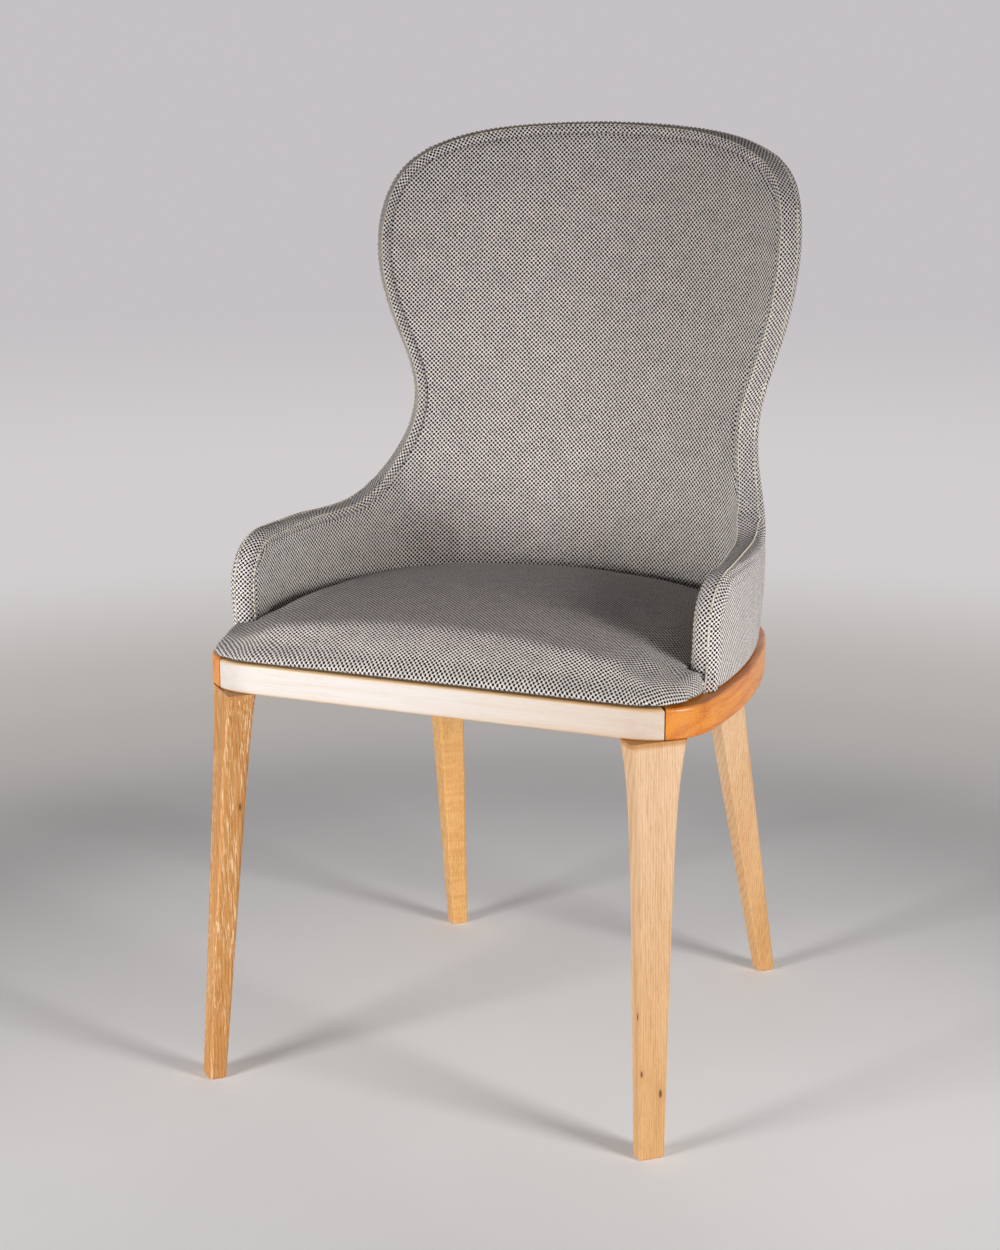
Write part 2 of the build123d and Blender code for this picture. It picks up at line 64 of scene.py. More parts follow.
def srgb(red: float, green: float, blue: float) -> tuple[float, float, float, float]:
    """Linear colour of a display colour.

    Args:
        red: Red from 0 to 255.
        green: Green from 0 to 255.
        blue: Blue from 0 to 255.

    Returns:
        Red, green, blue and alpha for a node socket.
    """

    def linear(part: float) -> float:
        """Linear value of one display value."""
        share = part / 255.0
        return share / 12.92 if share <= 0.04045 else ((share + 0.055) / 1.055) ** 2.4

    return (linear(red), linear(green), linear(blue), 1.0)


def smooth_step(value: Array, low: float, high: float) -> Array:
    """Eased share of the way from low to high.

    Args:
        value: Values to ease.
        low: Value that gives 0.
        high: Value that gives 1.

    Returns:
        Shares from 0 to 1.
    """
    share = np.clip((np.asarray(value, float) - low) / (high - low), 0.0, 1.0)
    return share * share * (3.0 - 2.0 * share)


def new_object(name: str, mesh: bpy.types.Mesh) -> bpy.types.Object:
    """Link a mesh into the scene as an object at the origin.

    Args:
        name: Name of the piece.
        mesh: Its mesh, in place.

    Returns:
        The new object.
    """
    piece = bpy.data.objects.new(name, mesh)
    bpy.context.scene.collection.objects.link(piece)
    return piece


def mesh_from(name: str, points: Array, faces: Sequence[Sequence[int]], weave: Array) -> bpy.types.Mesh:
    """Smooth mesh with a weave map.

    Args:
        name: Name of the mesh.
        points: Vertex places.
        faces: Vertex numbers of each face.
        weave: Cloth coordinate of each vertex in metres.

    Returns:
        The mesh.
    """
    mesh = bpy.data.meshes.new(name)
    mesh.from_pydata([tuple(map(float, point)) for point in points], [], [list(face) for face in faces])
    set_weave(mesh, weave)
    shade_smooth(mesh)
    mesh.update()
    return mesh


def set_weave(mesh: bpy.types.Mesh, weave: Array) -> None:
    """Store a cloth coordinate per vertex as the weave map.

    Args:
        mesh: Mesh to write to.
        weave: One pair of metres per vertex.
    """
    layer = mesh.uv_layers.get(WEAVE_MAP) or mesh.uv_layers.new(name=WEAVE_MAP)
    corners = np.zeros(len(mesh.loops), np.int32)
    mesh.loops.foreach_get("vertex_index", corners)
    layer.data.foreach_set("uv", np.asarray(weave, np.float32)[corners].ravel())


def shade_smooth(mesh: bpy.types.Mesh) -> None:
    """Shade all faces of a mesh smoothly."""
    mesh.polygons.foreach_set("use_smooth", [True] * len(mesh.polygons))


def set_places(mesh: bpy.types.Mesh, places: Array) -> None:
    """Move all vertices of a mesh.

    Args:
        mesh: Mesh to write to.
        places: One row for each vertex.
    """
    mesh.vertices.foreach_set("co", places.astype(np.float32).ravel())
    mesh.update()


def vertex_array(mesh: bpy.types.Mesh) -> Array:
    """All vertex places of a mesh as rows."""
    places = np.zeros(len(mesh.vertices) * 3, np.float32)
    mesh.vertices.foreach_get("co", places)
    return places.reshape(-1, 3).astype(float)


def normal_array(mesh: bpy.types.Mesh) -> Array:
    """All vertex normals of a mesh as rows."""
    normals = np.zeros(len(mesh.vertices) * 3, np.float32)
    mesh.vertex_normals.foreach_get("vector", normals)
    return normals.reshape(-1, 3).astype(float)


def unit(rows: Array) -> Array:
    """Rows scaled to length 1."""
    return rows / np.linalg.norm(rows, axis=-1, keepdims=True)


def path_lengths(*parts: Array) -> Array:
    """Lengths along a path from its start, from the coordinates of its points."""
    return np.concatenate([[0.0], np.cumsum(np.hypot(*map(np.diff, parts)))])


def softened(row: Array) -> Array:
    """Row of values smoothed by their neighbours, with its ends kept."""
    weights = np.array([1.0, 3.0, 4.0, 3.0, 1.0]) / 12.0
    result = row.copy()
    wide = np.concatenate([[row[0]] * 2, row, [row[-1]] * 2])
    result[1:-1] = np.convolve(wide, weights, "valid")[1:-1]
    return result


def apply_modifiers(piece: bpy.types.Object) -> None:
    """Turn a piece's modifiers into its own plain mesh.

    Args:
        piece: Object whose modifiers are applied and removed.
    """
    graph = bpy.context.evaluated_depsgraph_get()
    mesh = bpy.data.meshes.new_from_object(piece.evaluated_get(graph), depsgraph=graph)
    piece.modifiers.clear()
    old = piece.data
    piece.data = mesh
    bpy.data.meshes.remove(old)


# Forms that the cloth follows


@dataclass(frozen=True)
class TubForm:
    """Leaning surface of the back: one row of arcs whose centres hold at every height and depth."""

    half_width: float = 0.260
    rear: float = 0.202
    widest_y: float = -0.110
    side_r: float = 0.610
    corner_r: float = 0.110
    rear_r: float = 0.360
    ring_top: float = 0.422
    flare: float = 0.115
    lumbar_depth: float = 0.012
    lumbar_height: float = 0.135
    lumbar_reach: float = 0.070
    inside: float = 0.033
    outside: float = 0.007
    mean_height: float = 0.600
    last_turn: float = math.radians(110.0)

    @property
    def middle(self) -> float:
        """Depth of the middle of the padded back."""
        return (self.inside + self.outside) / 2

    @property
    def side_centre(self) -> tuple[float, float]:
        """Centre of the side arc."""
        return (self.half_width - self.side_r, self.widest_y)

    @property
    def rear_centre(self) -> tuple[float, float]:
        """Centre of the rear arc."""
        return (0.0, self.rear - self.rear_r)

    @property
    def corner_centre(self) -> tuple[float, float]:
        """Centre of the arc that joins side and rear."""
        first, second = self.side_centre, self.rear_centre
        first_r, second_r = self.side_r - self.corner_r, self.rear_r - self.corner_r
        across = (second[0] - first[0], second[1] - first[1])
        distance = math.hypot(*across)
        along = (first_r**2 - second_r**2 + distance**2) / (2 * distance)
        off = math.sqrt(first_r**2 - along**2)
        x, y = across[0] / distance, across[1] / distance
        return (first[0] + along * x - off * y, first[1] + along * y + off * x)

    @property
    def bends(self) -> tuple[float, float]:
        """Turns from the middle of the rear at which the corner arc starts and ends."""
        corner = self.corner_centre
        start = math.atan2(corner[1] - self.rear_centre[1], corner[0] - self.rear_centre[0])
        end = math.atan2(corner[1] - self.side_centre[1], corner[0] - self.side_centre[0])
        return (math.pi / 2 - start, math.pi / 2 - end)

    def growth(self, height: Array) -> Array:
        """How far the surface has leaned out.

        Args:
            height: Heights above the floor.

        Returns:
            Distances outward from the ring's own outline.
        """
        rise = np.asarray(height, float) - self.ring_top
        draw = self.lumbar_depth * np.exp(-(((rise - self.lumbar_height) / self.lumbar_reach) ** 2))
        return self.flare * rise - draw

    def point(self, turn: Array, height: Array, inset: Array | float) -> Array:
        """Points of the surface.

        Args:
            turn: Turn of the plan normal from the middle of the rear, positive to +X.
            height: Heights above the floor.
            inset: Depth inside the ring outline.

        Returns:
            One row of x, y, z for each input.
        """
        turn, height, inset = np.broadcast_arrays(np.asarray(turn, float), np.asarray(height, float), inset)
        lean = self.growth(height) - inset
        angle = np.pi / 2 - np.abs(turn)
        rear, side = np.abs(turn) <= self.bends[0], np.abs(turn) > self.bends[1]
        corner = self.corner_centre
        x = np.where(rear, 0.0, np.where(side, self.side_centre[0], corner[0]))
        y = np.where(rear, self.rear_centre[1], np.where(side, self.side_centre[1], corner[1]))
        radius = np.where(rear, self.rear_r, np.where(side, self.side_r, self.corner_r)) + lean
        x = np.sign(turn) * (x + radius * np.cos(angle))
        return np.stack([x, y + radius * np.sin(angle), height], axis=-1)

    def outward(self, turn: Array) -> Array:
        """Plan normals that point away from the sitter, one row for each turn."""
        turn = np.asarray(turn, float)
        return np.stack([np.sin(turn), np.cos(turn), np.zeros_like(turn)], axis=-1)

    def run(self, turn: Array, height: Array | float, inset: float) -> Array:
        """Length along the surface from the middle of the rear.

        Args:
            turn: Turns of the plan normal.
            height: Heights above the floor.
            inset: Depth inside the ring outline.

        Returns:
            Signed lengths.
        """
        lean = self.growth(height) - inset
        size, (start, end) = np.abs(turn), self.bends
        length = (self.rear_r + lean) * np.minimum(size, start)
        length = length + (self.corner_r + lean) * np.clip(size - start, 0.0, end - start)
        return np.sign(turn) * (length + (self.side_r + lean) * np.maximum(size - end, 0.0))

    def turn_of(self, run: Array, inset: float) -> Array:
        """Turns that have a given length along the surface at its mean height.

        Args:
            run: Signed lengths from the middle of the rear.
            inset: Depth inside the ring outline.

        Returns:
            Turns of the plan normal.
        """
        marks = np.array([0.0, self.bends[0], self.bends[1], self.last_turn])
        lengths = self.run(marks, self.mean_height, inset)
        return np.sign(run) * np.interp(np.abs(run), lengths, marks)


@dataclass(frozen=True)
class RimForm:
    """Edge of arm, wing and crest on the right half, from the arm's foot to the middle of the crest."""

    tub: TubForm = field(default_factory=TubForm)
    foot: float = 0.4226
    arm_front: float = -0.150
    arm_top: float = 0.5275
    arm_corner_r: float = 0.050
    heading: float = math.radians(57.0)
    wing: tuple[tuple[float, float], ...] = (
        (0.200, 0.5272), (0.152, 0.530), (0.107, 0.563), (0.075, 0.630), (0.099, 0.720),
        (0.111, 0.795), (0.083, 0.867), (0.034, 0.896), (-0.046, 0.9115), (-0.123, 0.9155), (-0.180, 0.9155),
    )
    step: float = 0.004
    corner_steps: int = 40
    spline_steps: int = 600
    turn_over: float = 0.190
    turn_length: float = 0.20
    crest_fade: tuple[float, float] = (0.05, 0.16)
    crest_gap: float = 0.004
    search: tuple[float, float] = (-0.9, 1.9)
    halvings: int = 48

    def across(self, turn: Array, height: Array, inset: float) -> Array:
        """Distance across the cut's heading of points on the surface.

        Args:
            turn: Turns of the plan normal.
            height: Heights above the floor.
            inset: Depth inside the ring outline.

        Returns:
            Distances that grow towards the open side of the wing.
        """
        place = self.tub.point(turn, height, inset)
        return place[..., 0] * math.sin(self.heading) - place[..., 1] * math.cos(self.heading)

    def wing_turn(self, distance: Array, height: Array, inset: float) -> Array:
        """Turns at which the surface meets the cut, found by halving.

        Args:
            distance: Distances across the heading.
            height: Heights above the floor.
            inset: Depth inside the ring outline.

        Returns:
            Turns of the plan normal.
        """
        low, high = (np.full_like(distance, end) for end in self.search)
        for _ in range(self.halvings):
            middle = (low + high) / 2
            short = self.across(middle, height, inset) < distance
            low, high = np.where(short, middle, low), np.where(short, high, middle)
        return (low + high) / 2

    def arm_turn(self, y: Array, height: Array, inset: float) -> Array:
        """Turns at which the side arc reaches a distance from front to back.

        Args:
            y: Distances along the chair.
            height: Heights above the floor.
            inset: Depth inside the ring outline.

        Returns:
            Turns of the plan normal.
        """
        radius = self.tub.side_r + self.tub.growth(height) - inset
        return np.pi / 2 - np.arcsin((y - self.tub.side_centre[1]) / radius)

    def spline(self) -> tuple[Array, Array]:
        """Dense points of the wing's edge.

        Returns:
            Distances across the heading and heights.
        """
        marks = np.array(self.wing)
        lengths = path_lengths(*marks.T)
        count = len(marks)
        gaps = np.diff(lengths)
        system, right = np.eye(count), np.zeros((count, 2))
        for row in range(1, count - 1):
            system[row, row - 1 : row + 2] = (gaps[row - 1], 2 * (gaps[row - 1] + gaps[row]), gaps[row])
            slope = (marks[row + 1] - marks[row]) / gaps[row] - (marks[row] - marks[row - 1]) / gaps[row - 1]
            right[row] = 6 * slope
        bend = np.linalg.solve(system, right)
        places = np.linspace(0.0, lengths[-1], self.spline_steps)
        cell = np.clip(np.searchsorted(lengths, places) - 1, 0, count - 2)
        ahead, behind = (lengths[cell + 1] - places), (places - lengths[cell])
        gap = gaps[cell]

        def weighed(side: Array, length: Array) -> Array:
            """Part of the curve that one end of each gap gives."""
            bent = bend[side].T * (length**3 / gap - gap * length) / 6
            return (bent + marks[side].T * length / gap).T

        curve = weighed(cell, ahead) + weighed(cell + 1, behind)
        return curve[:, 0], curve[:, 1]

    def profile(self) -> tuple[Array, Array, Array, Array]:
        """Edge sampled evenly in its own two planes.

        Returns:
            Kind (0 for the arm, 1 for the wing), measure along or across, height, and run from the foot.
        """
        centre = (self.arm_front + self.arm_corner_r, self.arm_top - self.arm_corner_r)
        bend = np.linspace(math.pi, math.pi / 2, self.corner_steps)
        mid = self.tub.middle
        start_turn = self.wing_turn(np.array(self.wing[0][0]), np.array(self.arm_top), mid)
        flat_end = self.tub.point(start_turn, self.arm_top, mid)[1]
        arm_y = np.concatenate([[self.arm_front], centre[0] + self.arm_corner_r * np.cos(bend), [flat_end]])
        arm_z = np.concatenate([[self.foot], centre[1] + self.arm_corner_r * np.sin(bend), [self.arm_top]])
        across, height = self.spline()
        rows = []
        start = 0.0
        for kind, first, second in ((0, arm_y, arm_z), (1, across, height)):
            lengths = path_lengths(first, second)
            count = max(int(round(lengths[-1] / self.step)), 2)
            marks = np.linspace(0.0, lengths[-1], count + 1)
            sampled = [np.interp(marks, lengths, part) for part in (first, second)]
            rows.append(np.stack([np.full(count + 1, kind), *sampled, start + marks]))
            start += lengths[-1]
        return tuple(np.concatenate([rows[0], rows[1][:, 1:]], axis=1))

    def curve(self, inset: float, trim: Array | float) -> tuple[Array, Array, Array]:
        """Edge on the surface at an inset, moved in from the rim.

        Args:
            inset: Depth inside the ring outline.
            trim: Distance in from the rim, one value or one for each sample.

        Returns:
            Turns, heights and runs from the arm's foot, up to the middle of the crest.
        """
        kind, measure, height, run = self.profile()
        mid = self.tub.middle
        is_arm = kind < 0.5
        keep = is_arm | (self.wing_turn(measure, height, mid) > self.crest_gap)
        trim = np.broadcast_to(np.asarray(trim, float), run.shape)
        sign = np.where(is_arm, 1.0, -1.0)
        along = np.zeros((2, len(run)))
        for part in (is_arm, ~is_arm):
            along[0, part] = np.gradient((measure * sign)[part], run[part])
            along[1, part] = np.gradient(height[part], run[part])
        along = along / np.maximum(np.hypot(*along), 1e-9)
        moved = measure + sign * along[1] * trim
        height = np.maximum(height - along[0] * trim, self.foot)
        turns = {}
        for depth in (mid, inset):
            turns[depth] = np.where(
                is_arm, self.arm_turn(moved, height, depth), self.wing_turn(moved, height, depth)
            )
        left = run[keep][-1] - run
        share = smooth_step(run, self.turn_over, self.turn_over + self.turn_length)
        share = share * smooth_step(left, *self.crest_fade)
        turn = turns[mid] * (1 - share) + turns[inset] * share
        return softened(turn[keep]), softened(height[keep]), run[keep]


# Shader helpers


@dataclass
class NodeKit:
    """Short calls for adding and joining nodes in one tree."""

    tree: bpy.types.NodeTree

    def add(self, kind: str, feeds: dict[str | int, Value] | None = None, **settings: Value) -> bpy.types.Node:
        """Add a node.

        Args:
            kind: Blender's node type.
            feeds: Sockets or plain values for its inputs.
            **settings: Attributes to set on it.

        Returns:
            The node.
        """
        node = self.tree.nodes.new(kind)
        for name, value in settings.items():
            setattr(node, name, value)
        self.fill(node, feeds or {})
        return node

    def fill(self, node: bpy.types.Node, feeds: dict[str | int, Value]) -> None:
        """Feed several inputs of a node.

        Args:
            node: Node to feed.
            feeds: Sockets or plain values by the input's name or number.
        """
        for name, value in feeds.items():
            self.feed(node.inputs[name], value)

    def feed(self, socket: Socket, value: Value) -> None:
        """Join a socket to an input, or write a plain value on it.

        Args:
            socket: Input to feed.
            value: Socket, number or colour.
        """
        if isinstance(value, Socket):
            self.tree.links.new(value, socket)
        else:
            socket.default_value = value

    def math(self, operation: str, first: Value, second: Value = 0.0) -> Socket:
        """Arithmetic on values.

        Args:
            operation: Name of the operation.
            first: First value.
            second: Second value.

        Returns:
            The result.
        """
        return self.add("ShaderNodeMath", {0: first, 1: second}, operation=operation).outputs[0]

    def plus(self, first: Value, second: Value) -> Socket:
        """Sum of two values."""
        return self.math("ADD", first, second)

    def minus(self, first: Value, second: Value) -> Socket:
        """Difference of two values."""
        return self.math("SUBTRACT", first, second)

    def times(self, first: Value, second: Value) -> Socket:
        """Product of two values."""
        return self.math("MULTIPLY", first, second)

    def vector(self, operation: str, first: Value, second: Value) -> Socket:
        """Arithmetic on vectors.

        Args:
            operation: Name of the operation.
            first: First vector.
            second: Second vector.

        Returns:
            The resulting vector.
        """
        return self.add("ShaderNodeVectorMath", {0: first, 1: second}, operation=operation).outputs[0]

    def length(self, vector: Value) -> Socket:
        """Length of a vector."""
        return self.add("ShaderNodeVectorMath", {0: vector}, operation="LENGTH").outputs["Value"]

    def place(self) -> Socket:
        """Object coordinates."""
        return self.add("ShaderNodeTexCoord").outputs["Object"]

    def ease(self, value: Value, low: Value, high: Value, start: float = 0.0, end: float = 1.0) -> Socket:
        """Eased step of a value between two limits.

        Args:
            value: Value to map.
            low: Limit that gives start.
            high: Limit that gives end.
            start: Result at the low limit.
            end: Result at the high limit.

        Returns:
            The mapped value.
        """
        feeds = dict(enumerate((value, low, high, start, end)))
        return self.add("ShaderNodeMapRange", feeds, interpolation_type="SMOOTHSTEP").outputs[0]

    def mix(self, share: Value, first: Value, second: Value, blend: str = "MIX") -> Socket:
        """Mixed colour.

        Args:
            share: Share of the second colour.
            first: First colour.
            second: Second colour.
            blend: Way of mixing.

        Returns:
            The mixed colour.
        """
        feeds = {0: share, 6: first, 7: second}
        return self.add("ShaderNodeMix", feeds, data_type="RGBA", blend_type=blend).outputs[2]

    def noise(self, vector: Value, scale: Value, detail: float = 2.0, rough: float = 0.5) -> Socket:
        """Noise value.

        Args:
            vector: Place to sample.
            scale: Waves per metre.
            detail: Octaves.
            rough: Strength of the finer octaves.

        Returns:
            A value around a half.
        """
        feeds = {"Vector": vector, "Scale": scale, "Detail": detail, "Roughness": rough}
        return self.add("ShaderNodeTexNoise", feeds).outputs[0]

    def grain(self, vector: Value, scale: Colour, detail: float = 2.0, rough: float = 0.5) -> Socket:
        """Noise value with its own waves per metre along each axis."""
        return self.noise(self.stretch(vector, scale), 1.0, detail, rough)

    def parts(self, vector: Value) -> tuple[Socket, ...]:
        """X, Y and Z of a vector."""
        return tuple(self.add("ShaderNodeSeparateXYZ", {0: vector}).outputs)

    def stretch(self, vector: Value, scale: Colour) -> Socket:
        """Vector multiplied part by part."""
        return self.vector("MULTIPLY", vector, scale)


class SharedEffect:
    """Shader node group that several materials place with their own values."""

    name = "effect"
    inputs: tuple[tuple[str, str, Value], ...] = ()
    outputs: tuple[tuple[str, str], ...] = ()

    def tree(self) -> bpy.types.NodeTree:
        """Group of this effect, built on first use."""
        found = bpy.data.node_groups.get(self.name)
        if found:
            return found
        tree = bpy.data.node_groups.new(self.name, "ShaderNodeTree")
        for label, kind, value in self.inputs:
            socket = tree.interface.new_socket(name=label, in_out="INPUT", socket_type=kind)
            if value is not None:
                socket.default_value = value
        for label, kind in self.outputs:
            tree.interface.new_socket(name=label, in_out="OUTPUT", socket_type=kind)
        kit = NodeKit(tree)
        source = kit.add("NodeGroupInput")
        target = kit.add("NodeGroupOutput")
        given = {socket.name: socket for socket in source.outputs}
        for label, result in self.wire(kit, given).items():
            tree.links.new(result, target.inputs[label])
        return tree

    def wire(self, kit: NodeKit, given: dict[str, Socket]) -> dict[str, Socket]:
        """Build the group's nodes.

        Args:
            kit: Calls for the group's tree.
            given: Input sockets by name.

        Returns:
            Result sockets by output name.
        """
        raise NotImplementedError

    def place(self, kit: NodeKit, **values: Value) -> bpy.types.Node:
        """Put the group into a material.

        Args:
            kit: Calls for the material's tree.
            **values: Inputs by name, with underscores for spaces.

        Returns:
            The group node.
        """
        node = kit.add("ShaderNodeGroup", node_tree=self.tree())
        for label, value in values.items():
            kit.feed(node.inputs[label.replace("_", " ")], value)
        return node


class BasketWeave(SharedEffect):
    """Two-tone weave: pale yarns crossing over dark ones, with uneven yarn tones."""

    name = "basket_weave"
    inputs = (
        ("Vector", VECTOR, None),
        ("Pitch", FLOAT, 0.0046),
        ("Pale", COLOUR, None),
        ("Dark", COLOUR, None),
        ("Cover", FLOAT, -0.2),
        ("Slant", FLOAT, 0.2),
    )
    outputs = (("Color", COLOUR), ("Height", FLOAT))

    def wire(self, kit: NodeKit, given: dict[str, Socket]) -> dict[str, Socket]:
        """Build the crossing yarns.

        Args:
            kit: Calls for the group's tree.
            given: Input sockets by name.

        Returns:
            Colour and height.
        """
        place = given["Vector"]
        wobble = kit.add("ShaderNodeTexNoise", {"Vector": place, "Scale": 260.0, "Detail": 1.0})
        sway = kit.vector("SUBTRACT", wobble.outputs[1], (0.5, 0.5, 0.5))
        moved = kit.vector("ADD", place, kit.stretch(sway, (0.0011, 0.0011, 0.0)))
        turns = kit.math("DIVIDE", 2.0 * math.pi, given["Pitch"])
        x, y, _ = kit.parts(moved)
        phase_x, phase_y = kit.times(x, turns), kit.times(y, turns)
        slant_x = kit.times(kit.math("COSINE", phase_y), given["Slant"])
        slant_y = kit.times(kit.math("COSINE", phase_x), given["Slant"])
        wave_x = kit.math("SINE", kit.plus(phase_x, slant_x))
        wave_y = kit.math("SINE", kit.plus(phase_y, slant_y))
        cross = kit.times(wave_x, wave_y)
        warp_tone = kit.grain(place, (700.0, 28.0, 1.0), 2.0)
        weft_tone = kit.grain(place, (28.0, 700.0, 1.0), 2.0)
        patch = kit.noise(place, 55.0, 3.0)
        tone = kit.plus(kit.times(warp_tone, 0.5), kit.times(weft_tone, 0.5))
        uneven = kit.times(kit.minus(tone, 0.5), 0.7)
        low = kit.plus(given["Cover"], uneven)
        shown = kit.ease(cross, low, kit.plus(low, 0.20))
        shade = kit.plus(kit.ease(tone, 0.3, 0.7, 0.82, 1.1), kit.ease(patch, 0.25, 0.75, -0.06, 0.06))
        pale = kit.add("ShaderNodeVectorMath", {0: given["Pale"], "Scale": shade}, operation="SCALE")
        colour = kit.mix(shown, given["Dark"], pale.outputs[0])
        height = kit.math("POWER", kit.math("ABSOLUTE", cross), 0.55)
        return {"Color": colour, "Height": height}


class WoodFigure(SharedEffect):
    """Grain along Z: growth rings, fibres, short pores and light flecks."""

    name = "wood_figure"
    inputs = (
        ("Vector", VECTOR, None),
        ("Early", COLOUR, None),
        ("Late", COLOUR, None),
        ("Pore", COLOUR, None),
        ("Fleck", COLOUR, None),
        ("Rings", FLOAT, 260.0),
        ("Waver", FLOAT, 0.004),
        ("Ring Strength", FLOAT, 0.5),
        ("Pore Strength", FLOAT, 0.5),
        ("Fleck Strength", FLOAT, 0.0),
        ("Curl", FLOAT, 0.0),
        ("Roughness", FLOAT, 0.45),
    )
    outputs = (("Color", COLOUR), ("Roughness", FLOAT), ("Height", FLOAT))

    def wire(self, kit: NodeKit, given: dict[str, Socket]) -> dict[str, Socket]:
        """Build rings, fibres, pores and flecks.

        Args:
            kit: Calls for the group's tree.
            given: Input sockets by name.

        Returns:
            Colour, roughness and height.
        """
        place = given["Vector"]
        broad = kit.grain(place, (14.0, 14.0, 3.2), 3.0, 0.55)
        bent = kit.times(kit.minus(broad, 0.5), given["Waver"])
        x, y, z = kit.parts(place)
        radius = kit.plus(kit.plus(x, kit.times(y, 0.62)), kit.times(bent, 4.0))
        phase = kit.times(kit.times(radius, given["Rings"]), 2.0 * math.pi)
        rings = kit.math("POWER", kit.plus(kit.times(kit.math("SINE", phase), 0.5), 0.5), 2.2)
        fibre = kit.grain(place, (620.0, 620.0, 14.0), 3.0, 0.6)
        band = kit.grain(place, (60.0, 60.0, 2.2), 2.0)
        late = kit.times(rings, given["Ring Strength"])
        late = kit.plus(late, kit.ease(fibre, 0.35, 0.75, -0.15, 0.45))
        late = kit.plus(late, kit.ease(band, 0.3, 0.7, -0.12, 0.2))
        colour = kit.mix(kit.math("MINIMUM", kit.math("MAXIMUM", late, 0.0), 1.0), given["Early"], given["Late"])
        ripple = kit.grain(place, (22.0, 22.0, 150.0), 1.0)
        curl = kit.times(kit.ease(ripple, 0.42, 0.62), given["Curl"])
        colour = kit.mix(curl, colour, given["Late"])
        grain = kit.grain(place, (1500.0, 1500.0, 90.0), 1.0)
        pores = kit.times(kit.ease(grain, 0.60, 0.70), given["Pore Strength"])
        colour = kit.mix(pores, colour, given["Pore"])
        streak = kit.grain(place, (1000.0, 1000.0, 48.0), 2.0, 0.6)
        area = kit.ease(kit.grain(place, (70.0, 70.0, 7.0), 2.0), 0.36, 0.56)
        fleck = kit.times(kit.times(kit.ease(streak, 0.55, 0.62), area), given["Fleck Strength"])
        colour = kit.mix(fleck, colour, given["Fleck"])
        rough = kit.plus(given["Roughness"], kit.ease(fibre, 0.3, 0.7, -0.05, 0.09))
        rough = kit.plus(rough, kit.times(pores, 0.15))
        height = kit.minus(kit.times(fibre, 0.4), kit.times(pores, 0.6))
        return {"Color": colour, "Roughness": rough, "Height": height}


WEAVE = BasketWeave()
FIGURE = WoodFigure()


def blank_material(name: str) -> tuple[bpy.types.Material, NodeKit, bpy.types.Node]:
    """New material with only its main shader.

    Args:
        name: Name of the material.

    Returns:
        The material, its node calls and the main shader.
    """
    material = bpy.data.materials.new(name)
    material.use_nodes = True
    material.node_tree.nodes.clear()
    kit = NodeKit(material.node_tree)
    shader = kit.add("ShaderNodeBsdfPrincipled")
    kit.add("ShaderNodeOutputMaterial", {"Surface": shader.outputs[0]})
    return material, kit, shader


def add_bump(kit: NodeKit, shader: bpy.types.Node, height: Socket, depth: float, strength: float) -> None:
    """Join a height to a shader's normal.

    Args:
        kit: Calls for the material's tree.
        shader: Main shader.
        height: Height from 0 to 1.
        depth: Depth of the relief in metres.
        strength: Strength of the relief.
    """
    bump = kit.add("ShaderNodeBump", {"Strength": strength, "Distance": depth, "Height": height})
    kit.feed(shader.inputs["Normal"], bump.outputs[0])


@dataclass(frozen=True)
class ClothFinish:
    """Coarse two-tone upholstery cloth on the weave map."""

    name: str
    pale: Colour = (242.0, 235.0, 232.0)
    dark: Colour = (14.0, 12.0, 11.0)
    pitch: float = 0.0046
    cover: float = -0.14
    sheen: float = 0.05

    def material(self) -> bpy.types.Material:
        """Material of this cloth."""
        material, kit, shader = blank_material(self.name)
        source = kit.add("ShaderNodeUVMap", uv_map=WEAVE_MAP)
        weave = WEAVE.place(
            kit, Vector=source.outputs[0], Pitch=self.pitch, Pale=srgb(*self.pale), Dark=srgb(*self.dark),
            Cover=self.cover,
        )
        kit.fill(shader, {
            "Base Color": weave.outputs["Color"], "Roughness": 0.92, "Specular IOR Level": 0.25,
            "Sheen Weight": self.sheen, "Sheen Roughness": 0.5,
        })
        add_bump(kit, shader, weave.outputs["Height"], 0.0006, 0.7)
        return material


@dataclass(frozen=True)
class Toning:
    """Tint that grows along one axis of a piece."""

    axis: int
    full: float
    none: float
    tone: Colour = (255.0, 220.0, 166.0)

    def apply(self, kit: NodeKit, place: Socket, colour: Socket) -> Socket:
        """Tint a colour.

        Args:
            kit: Calls for the material's tree.
            place: Object coordinates.
            colour: Colour to tint.

        Returns:
            The tinted colour.
        """
        waver = kit.times(kit.minus(kit.noise(place, 25.0, 2.0), 0.5), 0.0012)
        share = kit.ease(kit.plus(kit.parts(place)[self.axis], waver), self.none, self.full)
        return kit.mix(share, colour, srgb(*self.tone), "MULTIPLY")


